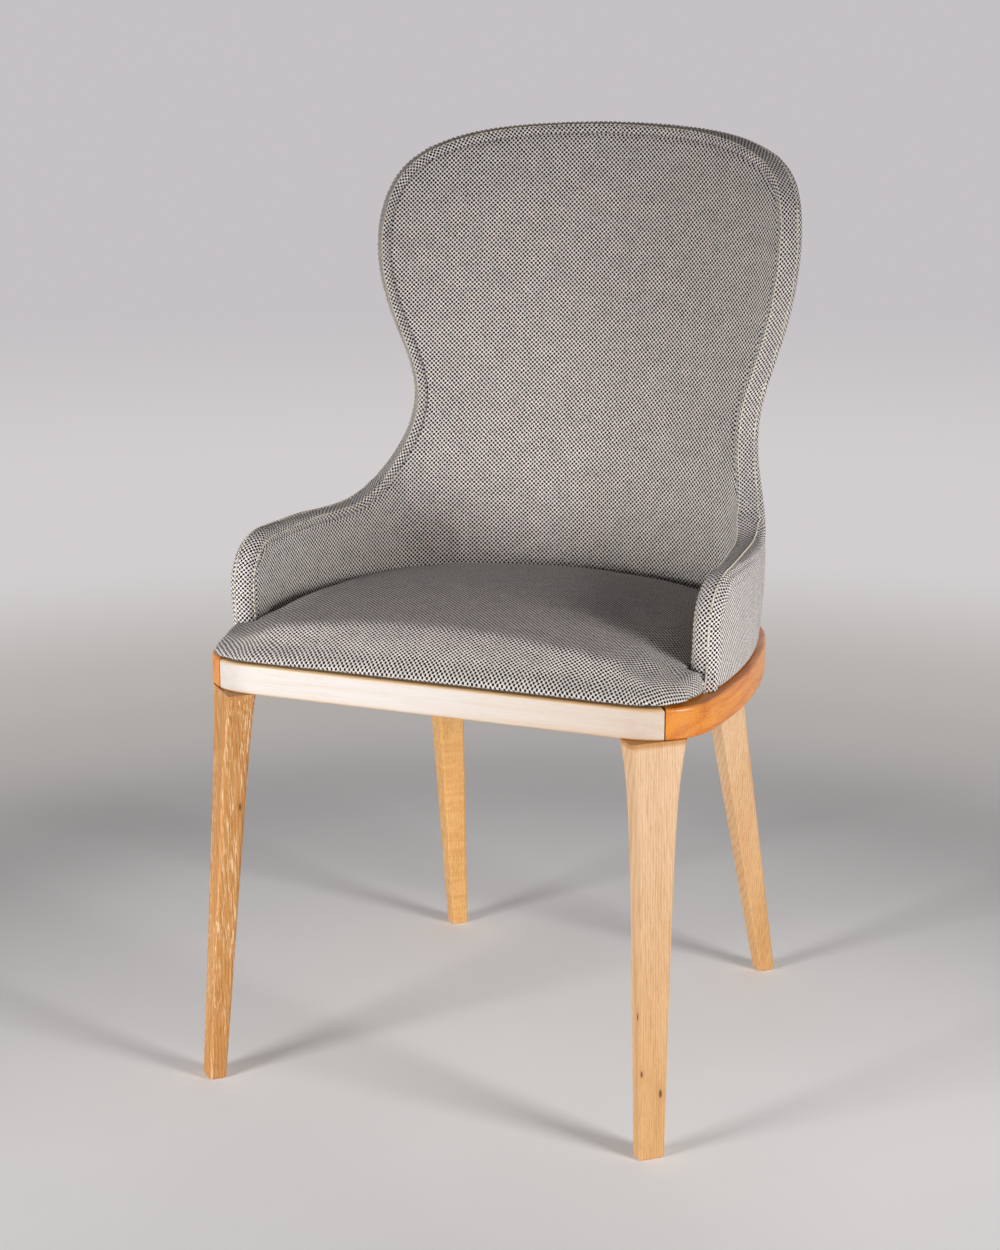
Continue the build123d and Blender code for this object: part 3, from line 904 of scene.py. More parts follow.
@dataclass(frozen=True)
class WoodFinish:
    """Oiled wood with its grain along a turned Z axis."""

    name: str
    early: Colour
    late: Colour
    pore: Colour
    fleck: Colour = (240.0, 215.0, 175.0)
    rings: float = 160.0
    waver: float = 0.004
    ring_strength: float = 0.45
    pore_strength: float = 0.5
    fleck_strength: float = 0.0
    curl: float = 0.0
    roughness: float = 0.45
    coat: float = 0.0
    turn: Colour = (0.0, 0.0, 0.0)
    knots: tuple[Knot, ...] = ()
    knot_squeeze: Colour = (2.6, 2.6, 1.0)
    knot_core: Colour = (112.0, 68.0, 36.0)
    tonings: tuple[Toning, ...] = ()

    def material(self) -> bpy.types.Material:
        """Material of this wood."""
        material, kit, shader = blank_material(self.name)
        place = kit.place()
        mapping = kit.add("ShaderNodeMapping", {"Vector": place, "Rotation": self.turn})
        figure = FIGURE.place(
            kit, Vector=mapping.outputs[0], Early=srgb(*self.early), Late=srgb(*self.late), Pore=srgb(*self.pore),
            Fleck=srgb(*self.fleck), Rings=self.rings, Waver=self.waver, Ring_Strength=self.ring_strength,
            Pore_Strength=self.pore_strength, Fleck_Strength=self.fleck_strength, Curl=self.curl,
            Roughness=self.roughness,
        )
        colour = figure.outputs["Color"]
        for knot in self.knots:
            colour = self.knotted(kit, place, colour, knot)
        for toning in self.tonings:
            colour = toning.apply(kit, place, colour)
        kit.fill(shader, {
            "Base Color": colour, "Roughness": figure.outputs["Roughness"],
            "Coat Weight": self.coat, "Coat Roughness": 0.22,
        })
        add_bump(kit, shader, figure.outputs["Height"], 0.00025, 0.5)
        return material

    def knotted(self, kit: NodeKit, place: Socket, colour: Socket, knot: Knot) -> Socket:
        """Colour with one small dark pin knot.

        Args:
            kit: Calls for the material's tree.
            place: Object coordinates.
            colour: Colour of the wood round it.
            knot: Centre and half length of the knot.

        Returns:
            The darkened colour.
        """
        away = kit.length(kit.stretch(kit.vector("SUBTRACT", place, knot[:3]), self.knot_squeeze))
        core = kit.ease(away, knot[3], knot[3] * 0.35)
        ring = kit.ease(away, knot[3] * 3.2, knot[3], 0.0, 0.35)
        colour = kit.mix(ring, colour, srgb(*self.late))
        return kit.mix(core, colour, srgb(*self.knot_core))


@dataclass(frozen=True)
class SpeckledFinish:
    """Plain material in two tones of one fine noise."""

    name: str
    first: Colour
    second: Colour
    scale: float
    detail: float
    rough: float = 0.5
    edge: tuple[float, float] | None = None
    roughness: tuple[float, ...] = (0.5,)
    metallic: float = 0.0
    relief: tuple[float, float] | None = None

    def material(self) -> bpy.types.Material:
        """Material with this look."""
        material, kit, shader = blank_material(self.name)
        speck = kit.noise(kit.place(), self.scale, self.detail, self.rough)
        share = kit.ease(speck, *self.edge) if self.edge else speck
        varies = len(self.roughness) > 1
        kit.fill(shader, {
            "Base Color": kit.mix(share, srgb(*self.first), srgb(*self.second)),
            "Roughness": kit.ease(speck, 0.3, 0.7, *self.roughness) if varies else self.roughness[0],
            "Metallic": self.metallic,
        })
        if self.relief:
            add_bump(kit, shader, speck, *self.relief)
        return material


class Plain(Enum):
    """Materials of thread, hardware and dust cloth."""

    THREAD = SpeckledFinish(
        "cream_thread", (240, 232, 214), (214, 202, 178), 900.0, 1.0, edge=(0.35, 0.65), roughness=(0.6,),
        relief=(0.0002, 0.4),
    )
    ZINC = SpeckledFinish(
        "zinc_steel", (196, 198, 200), (226, 226, 222), 900.0, 2.0, roughness=(0.28, 0.45), metallic=1.0
    )
    FELT = SpeckledFinish(
        "black_dust_cloth", (20, 20, 21), (58, 57, 56), 700.0, 4.0, rough=0.7, roughness=(0.95,), relief=(0.0004, 0.5)
    )


class Wood(Enum):
    """Woods of the chair, each with the look of its own board; the front rail's face also carries a painted highlight
    and the plywood's dark tone is painted shade.
    """

    # Front rail: its whitish face is partly the wood's own pale tone and partly a painted highlight, the reflection of
    # the left lamp; the golden tints at top and bottom edges keep the wood's own tone.
    RAIL_PAINTED_HIGHLIGHT = WoodFinish(
        "rail_wood_painted_highlight", (210, 203, 198), (203, 186, 169), (186, 162, 137), rings=75.0, ring_strength=0.3,
        pore_strength=0.2, turn=(0.0, math.pi / 2, 0.0), roughness=0.38,
        tonings=(
            Toning(2, 0.4212, 0.4180, (255.0, 226.0, 178.0)),
            Toning(2, 0.3924, 0.3945),
            # Painted reflection: the tint growing towards +X warms the right end and leaves the left end whiter.
            Toning(0, 0.24, -0.08, (255.0, 244.0, 232.0)),
        ),
    )
    RED_RAIL = WoodFinish(
        "red_rail_wood", (222, 140, 42), (186, 92, 24), (142, 62, 14), rings=55.0, waver=0.02, ring_strength=0.45,
        pore_strength=0.3, turn=(math.pi / 2, 0.0, 0.0), roughness=0.36, coat=0.28,
    )
    FLECKED_LEG = WoodFinish(
        "flecked_leg_wood", (190, 134, 70), (156, 100, 46), (112, 68, 28), fleck=(246, 224, 186), rings=240.0,
        waver=0.008, ring_strength=0.45, pore_strength=0.5, fleck_strength=0.55, roughness=0.5,
        knots=((-0.2030, -0.2282, 0.2784, 0.0055),),
    )
    STRAIGHT_LEG = WoodFinish(
        "straight_leg_wood", (217, 182, 144), (192, 144, 98), (160, 110, 66), rings=330.0, waver=0.003,
        ring_strength=0.45, pore_strength=0.3, roughness=0.46,
        knots=(
            (0.2179, -0.2464, 0.1364, 0.0055), (0.2250, -0.2535, 0.0837, 0.0050), (0.2393, -0.2415, 0.0623, 0.0060),
        ),
        tonings=(Toning(2, 0.0, 0.34, (246.0, 230.0, 195.0)), Toning(2, 0.3905, 0.3850, (222.0, 190.0, 130.0))),
    )
    CURLY_LEG = WoodFinish(
        "curly_leg_wood", (226, 176, 112), (198, 140, 72), (160, 105, 52), rings=260.0, waver=0.006,
        ring_strength=0.35, pore_strength=0.3, curl=0.35, roughness=0.44,
    )
    RAW_BLOCK = WoodFinish(
        "raw_block_wood", (222, 196, 158), (198, 164, 120), (160, 122, 80), rings=100.0, roughness=0.6
    )
    # Plywood: its near-black brown is painted shade, standing for the shadow in the gaps round the seat by the arms.
    PLY = WoodFinish(
        "plywood_dark_painted_shade", (64, 54, 46), (48, 40, 33), (34, 28, 23), rings=40.0, waver=0.02,
        turn=(0.0, math.pi / 2, 0.0), roughness=0.6,
    )


# Pieces of cloth


class PanelFace(Enum):
    """Which face of the padded back a panel covers."""

    INSIDE = -1.0
    OUTSIDE = 1.0


@dataclass
class EdgeBand:
    """Strip of cloth that wraps the rim of arms, wings and crest between two seams."""

    rim: RimForm
    arm_depth: float = 0.0125
    wing_depth: float = 0.0085
    arm_square: float = 2.5
    wing_square: float = 4.5
    arm_proud: float = 0.0008
    wing_proud: float = 0.0018
    inner_shift: float = 0.0030
    outer_shift: float = 0.0100
    outer_roll: float = 0.0030
    tuck: float = 0.004
    seam_sink: float = 0.0016
    seam_reach: float = 0.0024
    across: int = 36
    cloth: float = 0.0012
    outer_wrap: float = 0.0105
    wrap_run: tuple[float, float] = (0.15, 0.30)
    pass_run: tuple[float, float] = (0.12, 0.26)
    stitch_steps: int = 240

    def passing(self, run: Array, arm: float, wing: float) -> Array:
        """Value that passes from the arm to the wing along the rim.

        Args:
            run: Run from the arm's foot.
            arm: Value on the arm.
            wing: Value on the wing and the crest.

        Returns:
            One value for each run.
        """
        return arm + (wing - arm) * smooth_step(run, *self.pass_run)

    def depth(self) -> Array:
        """Distance from rim to seam at each sample of the rim."""
        return self.passing(self.rim.profile()[3], self.arm_depth, self.wing_depth)

    def wing_share(self, run: Array) -> Array:
        """How far the rim has passed from arm to wing, from 0 to 1."""
        return smooth_step(run, *self.wrap_run)

    def wrap(self, run: Array) -> Array:
        """Distance of the outer seam from the band's outer end, for runs of the whole band."""
        return self.outer_wrap * (1.0 - self.wing_share(np.minimum(run, run[-1] - run)))

    def half(self) -> tuple[Array, Array, Array, Array]:
        """Right half of the band's guiding curves.

        Returns:
            Inner seam, outer seam, rim middle and run from the arm's foot.
        """
        tub = self.rim.tub
        trim = self.depth()
        turn, height, run = self.rim.curve(tub.inside, trim)
        inner = tub.point(turn, height, tub.inside)
        turn, height, _ = self.rim.curve(tub.outside, trim)
        outer = tub.point(turn, height, tub.outside - self.passing(run, 0.0, self.outer_roll))
        proud = self.passing(self.rim.profile()[3], self.arm_proud, self.wing_proud)
        turn, height, _ = self.rim.curve(tub.middle, -proud)
        return inner, outer, tub.point(turn, height, tub.middle), run

    def guides(self) -> tuple[Array, Array, Array, Array]:
        """Guiding curves of the whole band, from the right arm's foot over the crest to the left.

        Returns:
            Inner seam, outer seam, rim middle and run.
        """
        inner, outer, middle, run = self.half()
        flip = np.array([-1.0, 1.0, 1.0])
        whole = [np.concatenate([row, (row * flip)[::-1]]) for row in (inner, outer, middle)]
        gap = float(np.linalg.norm(middle[-1] - middle[-1] * flip))
        return (*whole, np.concatenate([run, 2 * run[-1] + gap - run[::-1]]))

    def section(self, angle: Array) -> tuple[Array, Array]:
        """Points and normals of the wrapped surface.

        Args:
            angle: Angles round the rim, 0 at the inner seam and pi at the outer one.

        Returns:
            Points and normals, indexed by sample along the rim and by angle.
        """
        inner, outer, middle, run = self.guides()
        end = run[-1]
        square = self.passing(np.minimum(run, end - run), self.arm_square, self.wing_square)[:, None]
        heart = (inner + outer) / 2
        side, out = (inner - outer) / 2, middle - heart
        cosine, sine = np.cos(angle)[None], np.maximum(np.sin(angle), 0.0)[None]
        along_side = np.sign(cosine) * np.abs(cosine) ** (2 / square)
        along_out = sine ** (2 / square)
        points = heart[:, None] + along_side[..., None] * side[:, None] + along_out[..., None] * out[:, None]
        normals = unit(cosine[..., None] * unit(side)[:, None] + sine[..., None] * unit(out)[:, None])
        return points, normals

    @staticmethod
    def girth(points: Array) -> Array:
        """Length round each section, from the inner seam to every point."""
        steps = np.linalg.norm(np.diff(points, axis=1), axis=2)
        return np.concatenate([np.zeros((len(points), 1)), np.cumsum(steps, axis=1)], axis=1)

    def build(self) -> bpy.types.Object:
        """Mesh of the band.

        Returns:
            The finished object.
        """
        share = np.linspace(0.0, 1.0, self.across + 1)
        angle = np.pi * (share - 0.06 * np.sin(4 * np.pi * share) / 2)
        points, normals = self.section(angle)
        around = self.girth(points)
        run = self.guides()[3]
        outer_seam = around[:, -1:] - self.wrap(run)[:, None]
        edge = np.minimum(around, np.abs(outer_seam - around))
        sink = self.seam_sink * np.exp(-((edge / self.seam_reach) ** 2))
        points = points - normals * sink[..., None]
        inner, outer = points[:, :1] - normals[:, :1] * self.tuck, points[:, -1:] - normals[:, -1:] * self.tuck
        points = np.concatenate([inner, points, outer], axis=1)
        around = np.concatenate([around[:, :1] - self.tuck, around, around[:, -1:] + self.tuck], axis=1)
        rows, columns = points.shape[:2]
        weave = np.stack([around, np.repeat(run[:, None], columns, axis=1)], axis=-1)
        starts = [row * columns + column for row in range(rows - 1) for column in range(columns - 1)]
        faces = [(first, first + columns, first + columns + 1, first + 1) for first in starts]
        mesh = mesh_from("edge_band_cloth", points.reshape(-1, 3), faces, weave.reshape(-1, 2))
        face_outward(mesh, normals.mean(axis=1), rows)
        band = new_object("edge_band_cloth", mesh)
        thicken(band, self.cloth)
        return band

    def stitch_paths(self, distance: float, lift: float) -> list[Array]:
        """Lines for the two rows of topstitching.

        Args:
            distance: Distance of each row from its seam.
            lift: Height of the thread's middle above the cloth.

        Returns:
            Points of the inner row and of the outer row.
        """
        angle = np.linspace(0.0, np.pi, self.stitch_steps)
        points, normals = self.section(angle)
        around = self.girth(points)
        lifted = points + normals * lift
        rows = []
        run = self.guides()[3]
        nearer = np.minimum(run, run[-1] - run)
        inner = distance + self.passing(nearer, 0.0, self.inner_shift)
        outer = around[:, -1] - self.wrap(run) - distance - self.passing(nearer, 0.0, self.outer_shift)
        for wanted in (inner, outer):
            place = np.argmin(np.abs(around - wanted[:, None]), axis=1)
            rows.append(lifted[np.arange(len(points)), place])
        return rows


def face_outward(mesh: bpy.types.Mesh, outward: Array, rows: int) -> None:
    """Turn all faces of a strip the way its normals should point.

    Args:
        mesh: Mesh of the strip.
        outward: Wanted direction for each row.
        rows: Number of rows.
    """
    face = mesh.polygons[len(mesh.polygons) // 2]
    row = face.vertices[0] * rows // len(mesh.vertices)
    if face.normal.dot(Vector(outward[min(row, rows - 1)])) < 0.0:
        mesh.flip_normals()


def thicken(piece: bpy.types.Object, depth: float) -> None:
    """Give a sheet a thickness behind its visible face.

    Args:
        piece: Sheet to thicken.
        depth: Thickness.
    """
    solid = piece.modifiers.new("cloth_depth", "SOLIDIFY")
    solid.thickness = depth
    solid.offset = -1.0
    solid.use_even_offset = False
    apply_modifiers(piece)


@dataclass
class BackPanel:
    """Cloth and padding of one face of the back, cut to the band's seam."""

    name: str
    face: PanelFace
    band: EdgeBand
    foot: float
    cell: float = 0.008
    seam_sink: float = 0.0020
    seam_reach: float = 0.0026
    pad_sink: float = 0.0012
    pad_reach: float = 0.016
    roll: float = 0.0
    edge_roll: float = 0.0
    roll_reach: float = 0.045
    depth: float = 0.004
    seam_rows: tuple[float, ...] = (0.0012, 0.0026, 0.0044, 0.0070)
    grid_gap: float = 0.0105
    foot_gap: float = 0.002

    @property
    def inset(self) -> float:
        """Depth of this face inside the ring outline."""
        tub = self.band.rim.tub
        return tub.inside if self.face is PanelFace.INSIDE else tub.outside

    def outline(self) -> tuple[Array, Array]:
        """Closed outline of the flat cloth.

        Returns:
            Rows of length from the middle and height, and how deep the seam is at each row.
        """
        tub = self.band.rim.tub
        turn, height, run = self.band.rim.curve(self.inset, self.band.depth())
        keep = height > self.foot + self.foot_gap
        turn, height, run = turn[keep], height[keep], run[keep]
        length = tub.run(turn, tub.mean_height, self.inset)
        right = np.stack([length, height], axis=1)
        right = np.concatenate([[[right[0, 0], self.foot]], right])
        left = (right * (-1.0, 1.0))[::-1]
        sewn = np.ones(len(right))
        if self.face is PanelFace.OUTSIDE:
            sewn[1:] = self.band.wing_share(run)
            sewn[0] = sewn[1]
        count = int(2 * right[0, 0] / self.cell)
        low = np.stack([np.linspace(left[-1, 0], right[0, 0], count + 1)[1:-1], np.full(count - 1, self.foot)], axis=1)
        return np.concatenate([right, left, low]), np.concatenate([sewn, sewn[::-1], np.zeros(count - 1)])

    def scatter(self, outline: Array) -> Array:
        """Points inside the outline.

        Args:
            outline: Closed outline.

        Returns:
            Inner points, rows beside the seam included.
        """
        ahead, behind = np.roll(outline, -1, axis=0), np.roll(outline, 1, axis=0)
        along = ahead - behind
        along /= np.linalg.norm(along, axis=1, keepdims=True)
        inward = np.stack([-along[:, 1], along[:, 0]], axis=1)
        loops = [outline + inward * step for step in self.seam_rows]
        low, high = outline.min(axis=0), outline.max(axis=0)
        xs = np.arange(low[0], high[0], self.cell)
        ys = np.arange(low[1], high[1], self.cell * 0.87)
        grid = np.stack(np.meshgrid(xs, ys), axis=-1)
        grid[1::2, :, 0] += self.cell / 2
        grid = grid.reshape(-1, 2)
        loose = np.concatenate([*loops, grid[self.seam_distance(grid, outline) > self.grid_gap]])
        return loose[self.inside(loose, outline)]

    @staticmethod
    def seam_distance(points: Array, outline: Array) -> Array:
        """Distance of points from the outline.

        Args:
            points: Points to measure.
            outline: Closed outline.

        Returns:
            One distance for each point.
        """
        step = np.roll(outline, -1, axis=0) - outline
        size = np.maximum((step**2).sum(axis=1), 1e-12)
        away = points[:, None] - outline[None]
        share = np.clip((away * step).sum(axis=2) / size, 0.0, 1.0)
        return np.linalg.norm(away - share[..., None] * step[None], axis=2).min(axis=1)

    @staticmethod
    def inside(points: Array, outline: Array) -> Array:
        """Which points lie inside the outline.

        Args:
            points: Points to test.
            outline: Closed outline.

        Returns:
            A truth value for each point.
        """
        start, end = outline, np.roll(outline, -1, axis=0)
        above = (start[None, :, 1] > points[:, None, 1]) != (end[None, :, 1] > points[:, None, 1])
        rise = end[:, 1] - start[:, 1]
        rise = np.where(np.abs(rise) < 1e-12, 1e-12, rise)
        cross = start[:, 0] + (points[:, None, 1] - start[:, 1]) * (end[:, 0] - start[:, 0]) / rise
        return (above & (points[:, None, 0] < cross)).sum(axis=1) % 2 == 1

    def build(self) -> bpy.types.Object:
        """Mesh of the panel.

        Returns:
            The finished object.
        """
        tub = self.band.rim.tub
        outline, sewn = self.outline()
        flat = np.concatenate([outline, self.scatter(outline)])
        count = len(outline)
        edges = [(index, (index + 1) % count) for index in range(count)]
        cut = delaunay_2d_cdt([Vector(row) for row in flat], edges, [], 1, TINY)
        flat, faces = np.array([tuple(row) for row in cut[0]]), cut[2]
        above = outline[:, 1] > self.foot + TINY
        away = np.sqrt(((flat[:, None] - outline[above][None]) ** 2).sum(axis=2))
        gap, depth = away.min(axis=1), sewn[above][away.argmin(axis=1)]
        sink = self.seam_sink * np.exp(-((gap / self.seam_reach) ** 2))
        sink = sink + self.pad_sink * np.exp(-gap / self.pad_reach)
        sink = sink * depth - self.edge_roll * depth * np.exp(-((gap / self.roll_reach) ** 2))
        if self.roll > 0.0:
            low = np.clip(self.roll - (flat[:, 1] - self.foot), 0.0, self.roll)
            sink = sink + self.roll - np.sqrt(np.maximum(self.roll**2 - low**2, 0.0))
        turn = tub.turn_of(flat[:, 0], self.inset)
        outward = tub.outward(turn) * self.face.value
        points = tub.point(turn, flat[:, 1], self.inset) - outward * sink[:, None]
        weave = np.stack([tub.run(turn, flat[:, 1], self.inset), flat[:, 1]], axis=1)
        mesh = mesh_from(self.name, points, faces, weave)
        facing = sum(face.normal.dot(Vector(outward[face.vertices[0]])) * face.area for face in mesh.polygons)
        if facing < 0.0:
            mesh.flip_normals()
        panel = new_object(self.name, mesh)
        thicken(panel, self.depth)
        return panel


@dataclass
class Topstitching:
    """Rows of thread laid along the band by a node tree."""

    band: EdgeBand
    pitch: float = 0.0052
    length: float = 0.0042
    radius: float = 0.0008
    distance: float = 0.0062
    lift: float = 0.0004
    seed: int = 7
    least: Colour = (0.88, 0.9, 0.9)
    most: Colour = (1.08, 1.1, 1.1)

    def tree(self) -> tuple[bpy.types.NodeTree, dict[str, str]]:
        """Node tree that sets stitches along a line.

        Returns:
            The tree and the identifier of each named input.
        """
        tree = bpy.data.node_groups.new("topstitch", "GeometryNodeTree")
        tree.is_modifier = True
        face = tree.interface
        face.new_socket(name="Geometry", in_out="INPUT", socket_type="NodeSocketGeometry")
        names = {}
        kinds = {"Pitch": FLOAT, "Length": FLOAT, "Radius": FLOAT}
        kinds |= {"Seed": "NodeSocketInt", "Material": "NodeSocketMaterial"}
        for label, kind in kinds.items():
            names[label] = face.new_socket(name=label, in_out="INPUT", socket_type=kind).identifier
        face.new_socket(name="Geometry", in_out="OUTPUT", socket_type="NodeSocketGeometry")
        kit = NodeKit(tree)
        source, target = kit.add("NodeGroupInput"), kit.add("NodeGroupOutput")
        given = {socket.name: socket for socket in source.outputs}
        line = kit.add("GeometryNodeMeshToCurve", {0: given["Geometry"]})
        spacing = {"Curve": line.outputs[0], "Length": given["Pitch"]}
        marks = kit.add("GeometryNodeCurveToPoints", spacing, mode="LENGTH")
        align = kit.add("FunctionNodeAlignRotationToVector", {"Vector": marks.outputs["Tangent"]}, axis="X")
        stitch = kit.add("GeometryNodeMeshUVSphere", {"Segments": 6, "Rings": 6, "Radius": 1.0})
        half = kit.times(given["Length"], 0.5)
        size = kit.add("ShaderNodeCombineXYZ", {0: half, 1: given["Radius"], 2: given["Radius"]})
        shaped = kit.add("GeometryNodeTransform", {"Geometry": stitch.outputs["Mesh"], "Scale": size.outputs[0]})
        limits = {0: self.least, 1: self.most, "Seed": given["Seed"]}
        uneven = kit.add("FunctionNodeRandomValue", limits, data_type="FLOAT_VECTOR")
        laid = kit.add("GeometryNodeInstanceOnPoints", {
            "Points": marks.outputs["Points"], "Instance": shaped.outputs[0],
            "Rotation": align.outputs[0], "Scale": uneven.outputs[0],
        })
        real = kit.add("GeometryNodeRealizeInstances", {0: laid.outputs[0]})
        dressed = kit.add("GeometryNodeSetMaterial", {"Geometry": real.outputs[0], "Material": given["Material"]})
        kit.feed(target.inputs[0], dressed.outputs[0])
        return tree, names

    def build(self, thread: bpy.types.Material) -> bpy.types.Object:
        """Both rows as one plain mesh.

        Args:
            thread: Material of the thread.

        Returns:
            The finished object.
        """
        points, edges = [], []
        for row in self.band.stitch_paths(self.distance, self.lift):
            first = len(points)
            points.extend(tuple(map(float, place)) for place in row)
            edges.extend((first + index, first + index + 1) for index in range(len(row) - 1))
        mesh = bpy.data.meshes.new("topstitching")
        mesh.from_pydata(points, edges, [])
        piece = new_object("topstitching", mesh)
        tree, names = self.tree()
        rows = piece.modifiers.new("topstitch", "NODES")
        rows.node_group = tree
        values = (self.pitch, self.length, self.radius, self.seed, thread)
        for label, value in zip(("Pitch", "Length", "Radius", "Seed", "Material"), values):
            rows[names[label]] = value
        apply_modifiers(piece)
        shade_smooth(piece.data)
        return piece


@dataclass
class SeatCushion:
    """Domed seat pad, blown up a little by a cloth run from the foam's own form."""

    nodes: dict[str, bpy.types.Object]
    tub: TubForm
    voxel: float = 0.005
    pressure: float = 4.0
    frames: int = 20
    top_cap: float = 0.0045
    wall_cap: float = 0.0055
    side_cap: float = 0.0008
    foot_spread: float = 0.0150
    corner_pull: float = 0.0050
    corner_drop: float = 0.0065
    side_gap: float = 0.0005
    foot_height: float = 0.024
    side_drop: float = 0.009
    side_reach: float = 0.040
    arm_front: float = -0.152
    board_top: float = 0.440
    crown_top: float = 0.473
    crown_r: float = 1.5
    crown_y: float = -0.060
    smooth_rounds: int = 6
    blown_rounds: int = 3
    last_rounds: int = 2
    corner_x: tuple[float, float] = (0.160, 0.240)
    corner_y: tuple[float, float] = (0.150, 0.195)
    corner_z: tuple[float, float] = (0.006, 0.034)
    close_gap: tuple[float, float] = (0.005, 0.009)
    held_height: float = 0.004

    def start(self) -> bpy.types.Object:
        """Even mesh of the foam's form.

        Returns:
            The remeshed copy.
        """
        form = bmesh.new()
        form.from_mesh(self.nodes["seat_foam"].data)
        bmesh.ops.remove_doubles(form, verts=form.verts, dist=1e-5)
        mesh = bpy.data.meshes.new("seat_cushion")
        form.to_mesh(mesh)
        form.free()
        mesh.materials.clear()
        pad = new_object("seat_cushion", mesh)
        remesh = pad.modifiers.new("even_mesh", "REMESH")
        remesh.mode = "VOXEL"
        remesh.voxel_size = self.voxel
        apply_modifiers(pad)
        self.relax(pad, self.smooth_rounds)
        return pad

    def relax(self, pad: bpy.types.Object, rounds: int) -> None:
        """Take the voxel steps off the surface.

        Args:
            pad: Cushion to smooth.
            rounds: Number of passes.
        """
        smooth = pad.modifiers.new("relax", "SMOOTH")
        smooth.factor = 0.5
        smooth.iterations = rounds
        apply_modifiers(pad)

    def blow_up(self, pad: bpy.types.Object) -> Array:
        """Cloth run with air pressure.

        Args:
            pad: Cushion to blow up.

        Returns:
            Vertex places at the last frame.
        """
        places = vertex_array(pad.data)
        held = pad.vertex_groups.new(name="held")
        low = [int(index) for index in np.nonzero(places[:, 2] < self.tub.ring_top + self.held_height)[0]]
        held.add(low, 1.0, "REPLACE")
        cloth = pad.modifiers.new("cloth", "CLOTH")
        values = {
            "quality": 5, "mass": 0.3, "tension_stiffness": 15.0, "compression_stiffness": 15.0,
            "shear_stiffness": 5.0, "bending_stiffness": 0.5, "use_pressure": True,
            "uniform_pressure_force": self.pressure, "vertex_group_mass": "held",
        }
        for name, value in values.items():
            setattr(cloth.settings, name, value)
        cloth.settings.effector_weights.gravity = 0.0
        cloth.collision_settings.use_collision = False
        cloth.collision_settings.use_self_collision = False
        cloth.point_cache.frame_start = 1
        cloth.point_cache.frame_end = self.frames
        scene = bpy.context.scene
        for frame_number in range(1, self.frames + 1):
            scene.frame_set(frame_number)
            bpy.context.view_layer.update()
        graph = bpy.context.evaluated_depsgraph_get()
        blown = vertex_array(pad.evaluated_get(graph).data)
        pad.modifiers.clear()
        pad.vertex_groups.clear()
        scene.frame_set(1)
        return blown

    def build(self) -> bpy.types.Object:
        """Mesh of the cushion.

        Returns:
            The finished object.
        """
        pad = self.start()
        before, normals = vertex_array(pad.data), normal_array(pad.data)
        move = self.blow_up(pad) - before
        size = np.linalg.norm(move, axis=1)
        upward = smooth_step(normals[:, 2], 0.2, 0.7)
        ahead = smooth_step(-before[:, 1], -self.arm_front - 0.004, -self.arm_front + 0.010)
        wall = self.side_cap + (self.wall_cap - self.side_cap) * ahead
        cap = wall + (self.top_cap - wall) * upward
        share = np.minimum(1.0, cap / np.maximum(size, 1e-9))
        set_places(pad.data, before + move * share[:, None])
        self.relax(pad, self.blown_rounds)
        self.lay_weave(pad)
        self.shape_edges(pad)
        self.relax(pad, self.last_rounds)
        finer = pad.modifiers.new("finer", "SUBSURF")
        finer.levels = finer.render_levels = 1
        apply_modifiers(pad)
        shade_smooth(pad.data)
        return pad

    def wall_distance(self, places: Array) -> Array:
        """Distance in from the inside of the padded back, in plan.

        Args:
            places: Points of the cushion.

        Returns:
            One distance for each point.
        """
        tub = self.tub
        x, y = np.abs(places[:, 0]), places[:, 1]
        lean = tub.growth(places[:, 2]) - tub.inside
        corner = tub.corner_centre
        angle = np.arctan2(y - corner[1], x - corner[0])
        low, high = np.pi / 2 - tub.bends[1], np.pi / 2 - tub.bends[0]
        spans = [
            radius + lean - np.hypot(x - centre[0], y - centre[1])
            for radius, centre in (
                (tub.side_r, tub.side_centre), (tub.corner_r, corner), (tub.rear_r, tub.rear_centre),
            )
        ]
        return np.where(angle < low, spans[0], np.where(angle > high, spans[2], spans[1]))

    def shape_edges(self, pad: bpy.types.Object) -> None:
        """Spread the front wall's foot over the rail, round the front corners and close up to arms and back.

        Args:
            pad: Cushion to shape.
        """
        places, normals = vertex_array(pad.data), normal_array(pad.data)
        ahead = smooth_step(-places[:, 1], -self.arm_front - 0.012, -self.arm_front + 0.012)
        size = np.linalg.norm(normals[:, :2], axis=1)
        level = normals[:, :2] / np.maximum(size, TINY)[:, None]
        upright = smooth_step(size, 0.1, 0.5)
        foot = self.tub.ring_top
        low = 1.0 - smooth_step(places[:, 2], foot + 0.002, foot + self.foot_height)
        fronting = smooth_step(-level[:, 1], 0.35, 0.85)
        places[:, :2] += level * (self.foot_spread * low * ahead * upright * fronting)[:, None]
        cornering = smooth_step(np.abs(places[:, 0]), *self.corner_x) * smooth_step(-places[:, 1], *self.corner_y)
        cornering = cornering * smooth_step(places[:, 2] - foot, *self.corner_z)
        places[:, 0] -= np.sign(places[:, 0]) * self.corner_pull * cornering
        places[:, 2] -= self.corner_drop * cornering
        gap = self.wall_distance(places)
        beside = smooth_step(places[:, 1], self.arm_front + 0.004, self.arm_front + 0.016)
        close = np.clip(gap - self.side_gap, 0.0, None) * (1.0 - smooth_step(gap, *self.close_gap))
        places[:, :2] += level * (close * beside * upright)[:, None]
        near = np.clip(1.0 - gap / self.side_reach, 0.0, 1.0)
        high = smooth_step(places[:, 2], self.board_top - 0.004, self.board_top + 0.020)
        behind = smooth_step(places[:, 1], self.arm_front - 0.015, self.arm_front + 0.085)
        places[:, 2] -= self.side_drop * near**2 * high * behind
        set_places(pad.data, places)

